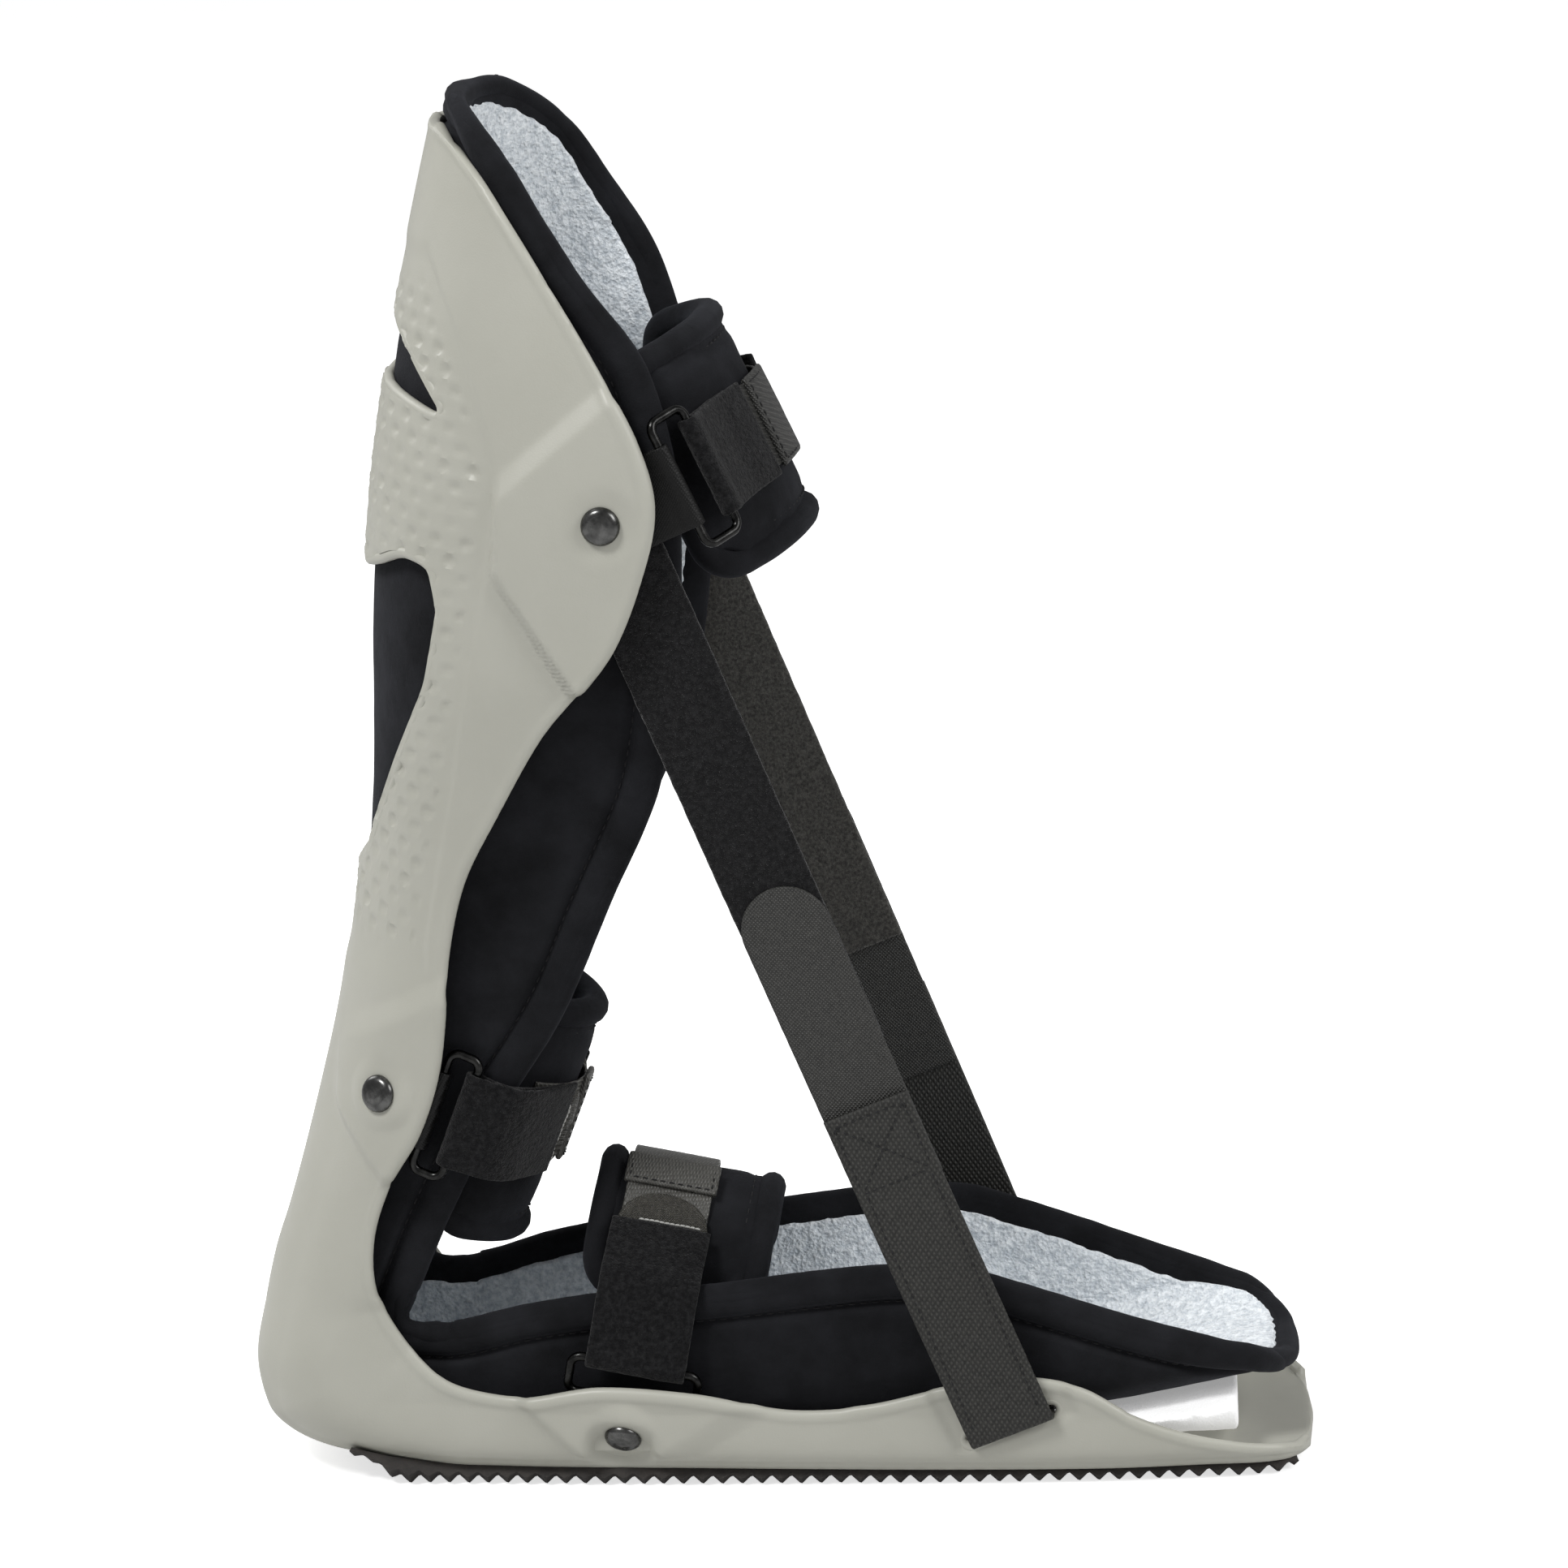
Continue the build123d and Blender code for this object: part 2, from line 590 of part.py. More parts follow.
wall = trough(STATIONS[1:], SHELL_T)
silhouette = side_profile([SHELL_EDGE], BEHIND)
rivet_planes = [rivet_plane(strap, side) for strap in STRAPS.values() for side in SIDES.values()]
rivet_holes = [drill(plane, RIVET_HOLE_R, DRILL_DEPTH) for plane in rivet_planes]
with BuildPart() as shell:
    add(wall.part)
    add(silhouette.part, mode=Mode.INTERSECT)
    # chevron vent across the back of the calf
    with BuildSketch(Plane.XZ):
        with BuildLine():
            Polyline(*CHEVRON_WINDOW, close=True)
        make_face()
    extrude(amount=HALF_SPAN, both=True, mode=Mode.SUBTRACT)
    # long opening over the Achilles tendon
    with BuildSketch(Plane.XZ):
        with BuildLine():
            top_edge = Polyline(*LONG_WINDOW_TOP)
            side_edge = Spline(*LONG_WINDOW_SIDE)
            Line(side_edge @ 1, top_edge @ 0)
        make_face()
    extrude(amount=HALF_SPAN, both=True, mode=Mode.SUBTRACT)
    # slots for the side straps
    with BuildSketch(Plane.XZ):
        with Locations(SLOT_CENTRE):
            SlotOverall(SLOT_L, SLOT_W, rotation=SLOT_TILT)
    extrude(amount=HALF_SPAN, both=True, mode=Mode.SUBTRACT)
    # flat rivet seats
    for plane in rivet_planes:
        with BuildSketch(plane.offset(-SEAT_ROOT)):
            Circle(SEAT_R)
        extrude(amount=SEAT_ROOT + SEAT_PROUD)
    for hole in rivet_holes:
        add(hole.part, mode=Mode.SUBTRACT)
save(shell, "shell")

save(make_tread(), "tread_sole")
save(make_wedge(filled_trough(STATIONS[FIRST_FLOOR:], SHELL_T + WEDGE_SIDE_GAP)), "toe_wedge")

liner_stations = nested(STATIONS[:-1], SHELL_T + SPINE_GAP, SHELL_T + SIDE_GAP, lifted=True)
cover_band = trough(liner_stations, LINER_T)
cover_outline = liner_profile(BOUND_W + PART_GAP)
with BuildPart() as liner_cover:
    add(cover_band.part)
    add(cover_outline.part, mode=Mode.INTERSECT)
save(liner_cover, "liner_cover")

bound_band = trough(liner_stations, BOUND_T, start=-(BOUND_T - LINER_T) / 2)
bound_outline = liner_profile(0.0)
bound_inside = liner_profile(BOUND_W)
with BuildPart() as liner_binding:
    add(bound_band.part)
    add(bound_outline.part, mode=Mode.INTERSECT)
    add(bound_inside.part, mode=Mode.SUBTRACT)
save(liner_binding, "liner_binding")

terry_band = trough(liner_stations, TERRY_T, start=LINER_T + PART_GAP)
terry_outline = liner_profile(TERRY_INSET)
with BuildPart() as liner_terry:
    add(terry_band.part)
    add(terry_outline.part, mode=Mode.INTERSECT)
save(liner_terry, "liner_terry")

for name, strap in STRAPS.items():
    for side_name, side in SIDES.items():
        save(make_chape(strap, side), f"{name}_chape_{side_name}")
        save(make_ring(strap, side), f"{name}_ring_{side_name}")
        save(make_rivet(strap, side), f"{name}_rivet_{side_name}")
        save(looped(strap, strap["tail"], TAIL_LAYER, STRAP_HALF, side), f"{name}_tail_{side_name}")
    save(make_pad(strap), f"{name}_pad")
    save(make_tape(strap), f"{name}_hook_tape")
    save(make_patch(strap), f"{name}_tape_patch")

for side_name, side in SIDES.items():
    save(make_side_band(side), f"side_band_{side_name}")
    save(make_hook_tab(side), f"side_hook_tab_{side_name}")
    save(make_side_web(side), f"side_web_{side_name}")
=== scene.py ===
import math

import bmesh
import bpy
import numpy as np
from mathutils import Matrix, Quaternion, Vector
from mathutils.kdtree import KDTree


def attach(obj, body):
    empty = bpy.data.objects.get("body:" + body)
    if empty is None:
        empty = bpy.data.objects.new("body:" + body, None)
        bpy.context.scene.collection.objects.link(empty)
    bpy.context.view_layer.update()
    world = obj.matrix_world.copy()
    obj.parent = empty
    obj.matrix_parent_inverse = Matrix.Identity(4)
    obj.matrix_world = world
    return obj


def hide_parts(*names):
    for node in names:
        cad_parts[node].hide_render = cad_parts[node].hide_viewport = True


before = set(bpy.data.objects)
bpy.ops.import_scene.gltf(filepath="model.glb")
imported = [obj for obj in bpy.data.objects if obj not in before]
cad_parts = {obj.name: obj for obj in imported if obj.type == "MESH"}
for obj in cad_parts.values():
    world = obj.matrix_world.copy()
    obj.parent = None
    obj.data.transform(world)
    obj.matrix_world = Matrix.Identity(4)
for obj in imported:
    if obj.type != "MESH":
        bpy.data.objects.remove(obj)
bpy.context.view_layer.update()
MM = 0.001
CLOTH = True

# ------------------------------------------------------------------ dimensions shared with the CAD, mm
STATIONS = [
    (-25.5, 412, -13, 50, 38, 2.0, 0.00), (-29, 398, -12, 53, 40, 2.0, 0), (-38, 364, -10, 59, 44, 2.0, .03),
    (-47, 328, -8, 64, 48, 2.0, .05), (-54, 290, -6, 66, 50, 2.0, .02), (-58.5, 250, -4, 64.5, 48.5, 2.0, .02),
    (-60.5, 212, -4, 59, 45, 2.1, .02), (-64, 178, -6, 53, 42, 2.1, .02), (-70, 145, -12, 49, 39, 2.1, .02),
    (-79, 111, -18, 46, 36, 2.1, 0), (-90, 76, -14, 44, 34, 2.1, 0), (-95, 62, -5.8, 43, 33, 2.1, 0),
    (-98.5, 48, 7.3, 42, 32, 2.2, 0), (-102, 30, 21.5, 42, 31, 2.2, 0), (-99, 17, 31.8, 42, 30, 2.3, 0),
    (-90, 10, 41, 42, 28, 2.4, 0), (-76, 6.5, 52, 42, 26, 2.5, .05), (-58, 5.4, 67, 43, 24, 2.6, .10),
    (-36, 5.2, 90, 44, 22, 2.7, .15), (-10, 5.1, 90, 46, 21, 2.8, .18), (30, 4.9, 90, 48, 21, 2.9, .20),
    (70, 4.7, 90, 49, 20, 3.2, .18), (110, 4.5, 90, 50, 19, 3.4, .12), (145, 4.3, 90, 49.5, 18, 3.4, .10),
    (175, 4.1, 90, 47, 18, 2.9, .10), (190, 4.0, 90, 43.5, 16, 2.8, .05), (198, 3.9, 90, 37.5, 14, 2.7, 0),
    (203, 3.9, 90, 30, 13, 2.6, 0), (206, 3.9, 90, 20, 12, 2.5, 0),
]
SHELL_EDGE = [
    (-36, 392), (-28, 391), (-17, 382), (-4.5, 366), (7.5, 347), (21, 322), (27, 309), (31, 293), (25.5, 268),
    (19, 253), (-4, 224.5), (-17, 203), (-29, 182), (-35, 160), (-37, 141), (-39, 129), (-46, 109),
    (-57, 91), (-62, 76), (-62, 62), (-56, 47), (-43, 32), (-25, 26.5), (4, 30), (30, 28), (59, 22.5),
    (79, 23.5), (100, 28.5), (114, 31.5), (128, 31.5), (141, 28.5), (156, 19.5), (170, 13.8), (188, 9),
    (212, 5.5),
]
CALF_EDGE = [
    (-36, 402), (-25, 401), (-13, 396), (-2, 383), (8, 367), (17, 352), (26, 335), (32, 318), (36, 298),
    (36, 272), (33, 240), (26, 207), (11, 175), (-5, 141), (-24, 112), (-42, 79), (-57, 45),
]
FOOT_EDGE = [
    (-57, 45), (-40, 45), (-20, 50), (5, 54), (36, 56.5), (65, 60), (89, 62), (108, 61), (124, 56),
    (157, 44.5), (180, 37), (199, 30.5), (210, 27),
]
CHEVRON = [(-70, 355), (-47, 343.5), (-27, 315.5), (-38, 319), (-49, 323), (-70, 326)]
LONG_WINDOW = [(-75, 172), (-60, 185), (-56, 197), (-47, 218), (-36, 241), (-31, 262), (-33, 273.5),
               (-42, 275.5), (-58, 266), (-85, 252)]
SHELL_T, SPINE_GAP, SIDE_GAP, LINER_T, LINER_SLOPE = 3.0, 0.5, 7.2, 5.0, 0.03
TOE_LIFT, LIFT_START, LIFT_END = 14.5, 90.0, 186.0
SLOT = dict(centre=(121.0, 19.4), tilt=21.0, length=30.0, width=5.5)
STRAPS = {
    "calf": dict(
        origin=(18.3, 286.3), tilt=24, wall=66.3, lean=0.0,
        chape=[(23.2, 61.5), (12, 61.5), (0, 61.5), (-8, 61.5)],
        tail=[(32.0, 52.4), (35.0, 44.2), (37.9, 36.0), (41.0, 30.4), (43.9, 24.4)],
        pad=dict(centre=12, a=34, b=46, low=-33, high=35), tape=(48, 52), patch=(20, -4)),
    "ankle": dict(
        origin=(-55.0, 120.0), tilt=-22, wall=43.0, lean=31.0,
        chape=[(15, 41.2), (10.5, 40.95), (5, 38.95), (0, 35.95), (-3.6, 33.0)],
        tail=[(24, 42.25), (30, 42.65), (35, 41.6), (40, 36.9), (44, 30.5), (47.5, 23.5), (50.3, 15.7)],
        pad=dict(centre=20, a=32, b=28.3, low=-40, high=36), tape=(52, 40), patch=(24, 4)),
    "instep": dict(
        origin=(9.5, 16.7), tilt=78, wall=43.6, lean=38.7,
        chape=[(9.6, 41.3), (6.5, 40.8), (3.7, 39.0), (0.8, 36.2)],
        tail=[(21, 43.6), (30, 43.2), (38, 42.4), (44, 40.9), (50, 35.0), (54, 30.0), (57.5, 25.2)],
        pad=dict(centre=30, a=40, b=29.0, low=-32, high=21), tape=(46, 40), patch=(30, 12)),
}
SIDES = {"right": -1, "left": 1}
PAD_T, PAD_CORNER, PAD_WRAP = 7.5, 11.0, 84.0
WIRE_R = 1.3
SIDE_TOP_W, SIDE_END_W, SIDE_LAYER, SIDE_STRAP_W = 59.3, 49.8, 1.6, 25.4
TAB_T, LAYERS_GAP, BAND_END, TAB_TIP, TAB_END, WEB_START, WEB_END = 1.2, .15, 165, 113, 207, 181, 288.2

# ------------------------------------------------------------------ dimensions of the finish, mm
RIM_R = 1.5                              # growth of the windows for their rounded rims
SEAM_AT, ROLL_R = 8.2, 3.05              # the liner's seam to its edge, and its rolled edge
DIMPLE_PITCH_S, DIMPLE_PITCH_L, DIMPLE_S, DIMPLE_L, DIMPLE_DEEP = 5.4, 10.6, 2.9, 2.0, 1.0
BINDING_IN, BINDING_R, PAD_SEAM_IN = 3.3, 4.0, 8.5
TAPE_HALF, TAPE_END_HALF, TAIL_HALF, TAIL_T, CHAPE_HALF, CHAPE_T = 12.5, 13.6, 14.4, 1.45, 12.0, .9
WEB_SINK, WEB_EASE, WEB_BEND = 1.4, 8, 1.6   # how the web eases in towards its slot, and its bend
TOOTH_PITCH, TOOTH_H, TREAD_HALF = 5.7, 2.4, .84


# ------------------------------------------------------------------ small mathematics
def unit(v):
    """Rows of v scaled to length one."""
    v = np.asarray(v, float)
    return v / np.maximum(np.linalg.norm(v, axis=-1, keepdims=True), 1e-9)


def ramp(t):
    """Smooth step from 0 to 1."""
    t = np.clip(t, 0, 1)
    return t * t * (3 - 2 * t)


def cos_sin(degrees):
    return math.cos(math.radians(degrees)), math.sin(math.radians(degrees))


def run_length(points):
    """Distance along a polyline to each of its points."""
    return np.r_[0, np.cumsum(np.linalg.norm(np.diff(points, axis=0), axis=1))]


def relaxed(loop, times):
    """A closed loop with its corners smoothed away."""
    for _ in range(times):
        loop = (np.roll(loop, 1, 0) + 2 * loop + np.roll(loop, -1, 0)) / 4
    return loop


def hermite(knots, rows, at, limited=False):
    """Cubic curve through rows of values at knots; limited never overshoots them."""
    h = np.diff(knots)[:, None]
    d = np.diff(rows, axis=0) / h
    m = np.vstack([d[:1], np.zeros_like(d[1:]), d[-1:]])
    if limited:
        a, b = d[:-1], d[1:]
        w1, w2 = 2 * h[1:] + h[:-1], h[1:] + 2 * h[:-1]
        safe = a * b > 1e-12
        mean = (w1 + w2) / (w1 / np.where(safe, a, 1) + w2 / np.where(safe, b, 1))
        m[1:-1] = np.where(safe, mean, 0)
    else:
        m[1:-1] = (d[:-1] * h[1:] + d[1:] * h[:-1]) / (h[1:] + h[:-1])
    i = np.clip(np.searchsorted(knots, at, side="right") - 1, 0, len(knots) - 2)
    t = ((at - knots[i]) / h[i, 0])[:, None]
    return ((1 + 2 * t) * (1 - t) ** 2 * rows[i] + t * (1 - t) ** 2 * h[i] * m[i]
            + t * t * (3 - 2 * t) * rows[i + 1] + t * t * (t - 1) * h[i] * m[i + 1])


def smooth_line(points, step):
    """A smooth curve through points, then spaced evenly."""
    p = np.asarray(points, float)
    knots = run_length(p)
    return spaced(hermite(knots, p, np.linspace(0, knots[-1], 40 * len(p))), step)


def spaced(points, step):
    """A polyline spaced evenly."""
    along = run_length(points)
    at = np.linspace(0, along[-1], max(int(along[-1] / step), 2) + 1)
    return np.stack([np.interp(at, along, points[:, k]) for k in range(points.shape[1])], 1)


def ring(path, step):
    """A closed path spaced evenly, without its first point again at the end."""
    return spaced(np.vstack([path, path[:1]]), step)[:-1]


def lumps(p, size, seed=0):
    """Repeatable smooth noise from -1 to 1 at points p, with lumps of about size mm."""
    q = np.asarray(p, float) / size
    base = np.floor(q).astype(np.int64)
    f = q - base
    f = f * f * (3 - 2 * f)
    total = 0.0
    for corner in range(8):
        o = np.array([corner & 1, corner >> 1 & 1, corner >> 2 & 1])
        c = base + o
        h = (c[..., 0] * 73856093) ^ (c[..., 1] * 19349663) ^ (c[..., 2] * 83492791) ^ (seed * 97531)
        h = ((h ^ (h >> 13)) * 1274126177) & 0xFFFFFFFF
        h = (h ^ (h >> 15)) & 0xFFFF
        total = total + np.prod(np.where(o == 1, f, 1 - f), axis=-1) * h / 32767.5
    return total - 1


def tree_of(points):
    tree = KDTree(len(points))
    for i, v in enumerate(points):
        tree.insert(v, i)
    tree.balance()
    return tree


# ------------------------------------------------------------------ materials
class Look:
    """A material's surface, with short names for the nodes that give it procedural detail."""

    def __init__(self, name, colour, roughness, **values):
        self.material = bpy.data.materials.new(name)
        self.material.use_nodes = True
        self.nodes, self.links = self.material.node_tree.nodes, self.material.node_tree.links
        self.surface = self.nodes["Principled BSDF"].inputs
        self.surface["Base Color"].default_value = (*colour, 1)
        self.surface["Roughness"].default_value = roughness
        for key, value in values.items():
            self.surface[key.replace("_", " ")].default_value = value
        self.place = self.nodes.new("ShaderNodeTexCoord").outputs["Object"]

    def node(self, kind, inputs, **settings):
        """The outputs of a new node, whose inputs are given as sockets or plain values."""
        made = self.nodes.new("ShaderNode" + kind)
        for key, value in settings.items():
            setattr(made, key, value)
        for key, value in inputs.items():
            if isinstance(value, bpy.types.NodeSocket):
                self.links.new(value, made.inputs[key])
            else:
                made.inputs[key].default_value = value
        return made.outputs

    def math(self, operation, *inputs):
        return self.node("Math", dict(enumerate(inputs)), operation=operation)[0]

    def noise(self, scale, detail=2.0, roughness=0.5):
        inputs = {"Vector": self.place, "Scale": scale, "Detail": detail, "Roughness": roughness}
        return self.node("TexNoise", inputs)["Fac"]

    def cells(self, scale):
        return self.node("TexVoronoi", {"Vector": self.place, "Scale": scale})["Distance"]

    def scaled(self, value, low, high):
        return self.node("MapRange", {"Value": value, "To Min": low, "To Max": high})["Result"]

    def blend(self, factor, low, high, start=0.3, end=0.7):
        """Colour that goes from low to high as factor goes from start to end."""
        made = self.nodes.new("ShaderNodeValToRGB")
        for stop, position, colour in zip(made.color_ramp.elements, (start, end), (low, high)):
            stop.position, stop.color = position, (*colour, 1)
        self.links.new(factor, made.inputs["Fac"])
        return made.outputs["Color"]

    def paint(self, *blend):
        self.links.new(self.blend(*blend), self.surface["Base Color"])

    def bump(self, height, distance, strength):
        normal = self.surface["Normal"]
        inputs = {"Height": height, "Distance": distance, "Strength": strength}
        if normal.is_linked:
            inputs["Normal"] = normal.links[0].from_socket
        self.links.new(self.node("Bump", inputs)["Normal"], normal)


def plastic(look):
    look.paint(look.noise(22, 3), (.375, .373, .325), (.405, .403, .355))
    look.links.new(look.scaled(look.noise(160, 2), .36, .52), look.surface["Roughness"])
    look.bump(look.noise(1900, 1), .00006, .5)
    look.bump(look.noise(75, 2), .00025, .35)


def brushed(look):
    look.paint(look.noise(55, 4, .6), (.0060, .0062, .0070), (.0145, .0150, .0175))
    look.bump(look.noise(2600, 3, .7), .00022, .8)
    look.bump(look.noise(240, 3), .0005, .5)


def terry(look):
    mix = look.noise(520, 4, .7)
    # one noise gives the pile its random tone and its bumps; the low pits are also painted darker as painted
    # shade between the loops
    look.paint(mix, (.56, .61, .66), (.93, .97, 1.0), .34, .62)
    look.bump(look.cells(900), .0006, .8)
    look.bump(mix, .0012, .9)


def nap(look):
    pills = look.noise(700, 4, .7)
    look.paint(pills, (.0035, .0035, .004), (.020, .020, .021), .42, .78)
    look.bump(pills, .0010, .9)
    look.bump(look.noise(3200, 2, .6), .0003, .7)


def nap_with_painted_lit_back(look):
    """Loop nap on the face away from the wearer and a woven back on the inner face, painted paler there as
    painted light.
    """
    nap(look)
    # painted light: the inner face's woven colour is made paler to stand for the light that falls on the far
    # band
    back = look.blend(look.noise(1100, 3, .7), (.030, .029, .027), (.085, .082, .075), .35, .65)
    here = look.node("NewGeometry", {})
    product = look.node("VectorMath", {0: here["Position"], 1: here["Normal"]}, operation="MULTIPLY")
    inner = look.math("LESS_THAN", look.node("SeparateXYZ", {0: product["Vector"]})["Y"], 0)
    outside = look.surface["Base Color"].links[0].from_socket
    mix = look.node("MixRGB", {"Fac": inner, "Color1": outside, "Color2": back})["Color"]
    look.links.new(mix, look.surface["Base Color"])


def woven(scale, low, high, depth, tilt=35.0):
    """A fine twill for tapes and webbing: crossing waves with rib spacing 1 / scale metres."""
    def detail(look):
        waves = []
        for turn in (tilt, -tilt):
            turned = look.node("Mapping", {"Vector": look.place, "Rotation": (0.3, math.radians(turn), 0.2)})
            inputs = {"Vector": turned["Vector"], "Scale": scale, "Distortion": 0.6, "Detail": 1.5}
            waves.append(look.node("TexWave", inputs)["Fac"])
        ribs = look.math("MULTIPLY", *waves)
        speck = look.noise(900, 3, .7)
        look.paint(look.math("MULTIPLY_ADD", ribs, .45, look.scaled(speck, 0, .62)), low, high, .25, .7)
        look.bump(ribs, depth, .8)
        look.bump(speck, depth * .6, .5)
    return detail


def metal(low, high):
    def detail(look):
        marks = look.noise(300, 4, .6)
        look.paint(marks, low, high)
        look.links.new(look.scaled(marks, .16, .36), look.surface["Roughness"])
        look.bump(marks, .0001, .4)
    return detail


def rubber(look):
    look.paint(look.noise(130, 4, .6), (.014, .012, .011), (.032, .027, .024))
    look.bump(look.noise(900, 3), .0003, .6)


def foam(look):
    look.paint(look.noise(60), (.78, .78, .78), (.90, .90, .91))
    look.bump(look.cells(1300), .0003, .5)


def pale_floor(look):
    """Pale, and lifted to white where the camera sees it, without lighting the splint."""
    look.paint(look.noise(3, 3), (.74, .74, .74), (.76, .76, .76))
    seen = look.node("LightPath", {})["Is Camera Ray"]
    look.links.new(look.math("MULTIPLY", seen, .68), look.surface["Emission Strength"])


def shader(name, colour, roughness, detail, **values):
    look = Look(name, colour, roughness, **values)
    detail(look)
    return look.material


PLASTIC = shader("shell_plastic_look", (.5, .5, .44), .42, plastic, Subsurface_Weight=.04,
                 Subsurface_Radius=(.004, .004, .003))
FABRIC = shader("brushed_liner_look", (.014, .015, .019), .95, brushed, Sheen_Weight=.07,
                Sheen_Roughness=.45, Sheen_Tint=(.5, .52, .62, 1), Specular_IOR_Level=.12)
TERRY = shader("terry_look", (.8, .84, .88), .95, terry, Sheen_Weight=.3, Specular_IOR_Level=.1)
NAP = shader("loop_strap_look", (.012, .012, .013), .95, nap, Sheen_Weight=.12, Sheen_Roughness=.4,
             Specular_IOR_Level=.15)
BAND = shader("side_band_look", (.014, .014, .015), .95, nap_with_painted_lit_back, Sheen_Weight=.4,
              Sheen_Roughness=.35, Specular_IOR_Level=.2)
WEBBING = shader("webbing_look", (.03, .03, .03), .62,
                 woven(260, (.009, .009, .008), (.045, .044, .040), .0004), Specular_IOR_Level=.4)
HOOK = shader("hook_tape_look", (.06, .06, .06), .5,
              woven(420, (.012, .012, .011), (.052, .051, .047), .0004, 45), Specular_IOR_Level=.45)
HOOK_SHINE = shader("hook_patch_look", (.04, .04, .03), .30,
                    woven(620, (.018, .017, .014), (.085, .08, .066), .0005, 45))
CHAPE = shader("chape_tape_look", (.005, .005, .005), .42,
               woven(500, (.002, .002, .002), (.006, .006, .006), .00012), Specular_IOR_Level=.22)
GREY_TAPE = shader("grey_tape_look", (.13, .125, .11), .38,
                   woven(380, (.045, .044, .040), (.105, .102, .092), .0003, 20))
PALE = shader("frayed_thread_look", (.5, .5, .48), .8,
              woven(1500, (.4, .4, .38), (.62, .62, .6), .0001))
THREAD = shader("thread_look", (.006, .006, .007), .8,
                woven(1500, (.004, .004, .005), (.010, .010, .012), .0001))
METAL = shader("rivet_steel_look", (.2, .2, .2), .25, metal((.05, .05, .049), (.14, .14, .137)),
               Metallic=1.0)
WIRE = shader("ring_wire_look", (.02, .02, .02), .25, metal((.012, .012, .012), (.045, .045, .044)),
              Metallic=1.0)
RUBBER = shader("rubber_look", (.05, .04, .036), .8, rubber)
# painted light: the foam glows with a weak white emission so the wedge looks brighter than its lighting makes
# it
FOAM = shader("foam_painted_glow_look", (.85, .85, .85), .9, foam, Emission_Color=(1, 1, 1, 1),
              Emission_Strength=.3)
FLOOR = shader("floor_look", (.87, .87, .87), .9, pale_floor, Specular_IOR_Level=.1,
               Emission_Color=(1, 1, 1, 1))


# ------------------------------------------------------------------ pieces
def piece(name, verts, faces, body, material, replaces=(), slot=None, sharp=None):
    """A finished mesh in mm that rides on a body and stands for CAD nodes."""
    mesh = bpy.data.meshes.new(name)
    mesh.from_pydata((np.asarray(verts, float) * MM).tolist(), [], [list(map(int, f)) for f in faces])
    bm = bmesh.new()
    bm.from_mesh(mesh)
    bmesh.ops.recalc_face_normals(bm, faces=bm.faces)
    bm.to_mesh(mesh)
    bm.free()
    mesh.shade_smooth()
    if sharp:
        mesh.set_sharp_from_angle(angle=math.radians(sharp))
    mesh.materials.append(material)
    obj = placed(name, mesh)
    dress(obj, body, replaces)
    return obj


def placed(name, data):
    obj = bpy.data.objects.new(name, data)
    bpy.context.scene.collection.objects.link(obj)
    return obj


def dress(obj, body, replaces):
    if body:
        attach(obj, body)
    if replaces:
        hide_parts(*replaces)


def grid_faces(rows, columns, start=0):
    i = np.arange(rows - 1)[:, None] * columns
    j = np.arange(columns - 1)[None, :]
    a = (i + j).ravel() + start
    return np.stack([a, a + 1, a + columns + 1, a + columns], 1)


def closed(outer, inner, rim=3):
    """Vertices and faces of a solid between two grids of points, with its rim rounded."""
    rows, cols = outer.shape[:2]
    count = rows * cols
    index = np.arange(count).reshape(rows, cols)
    loop = np.r_[index[0, :-1], index[:-1, -1], index[-1, :0:-1], index[:0:-1, 0]]
    away = np.zeros_like(outer)
    away[0] += unit(outer[0] - outer[1])
    away[-1] += unit(outer[-1] - outer[-2])
    away[:, 0] += unit(outer[:, 0] - outer[:, 1])
    away[:, -1] += unit(outer[:, -1] - outer[:, -2])
    a, b = outer.reshape(-1, 3)[loop], inner.reshape(-1, 3)[loop]
    half = (a - b) / 2
    size = np.linalg.norm(half, axis=1, keepdims=True)
    t = away.reshape(-1, 3)[loop]
    t = unit(t - (t * half).sum(1, keepdims=True) / np.maximum(size ** 2, 1e-9) * half)
    verts = [outer.reshape(-1, 3), inner.reshape(-1, 3)]
    loops = [loop]
    for k in range(1, rim + 1):
        turn = math.pi * k / (rim + 1)
        verts.append((a + b) / 2 + half * math.cos(turn) + t * size * math.sin(turn))
        loops.append(2 * count + (k - 1) * len(loop) + np.arange(len(loop)))
    loops.append(loop + count)
    faces = [grid_faces(rows, cols), grid_faces(rows, cols, count)[:, ::-1]]
    for one, two in zip(loops, loops[1:]):
        nxt = np.r_[1:len(loop), 0]
        faces.append(np.stack([one, two, two[nxt], one[nxt]], 1))
    return np.concatenate(verts), np.concatenate(faces)


def ring_faces(count, sides, closed_path=False):
    """Faces between rings of points, joined into a loop or capped at both ends."""
    faces = []
    for i in range(count if closed_path else count - 1):
        one, two = i * sides, (i + 1) % count * sides
        for k in range(sides):
            faces.append((one + k, one + (k + 1) % sides, two + (k + 1) % sides, two + k))
    if not closed_path:
        faces += [tuple(range(sides)), tuple((count - 1) * sides + k for k in range(sides))]
    return faces


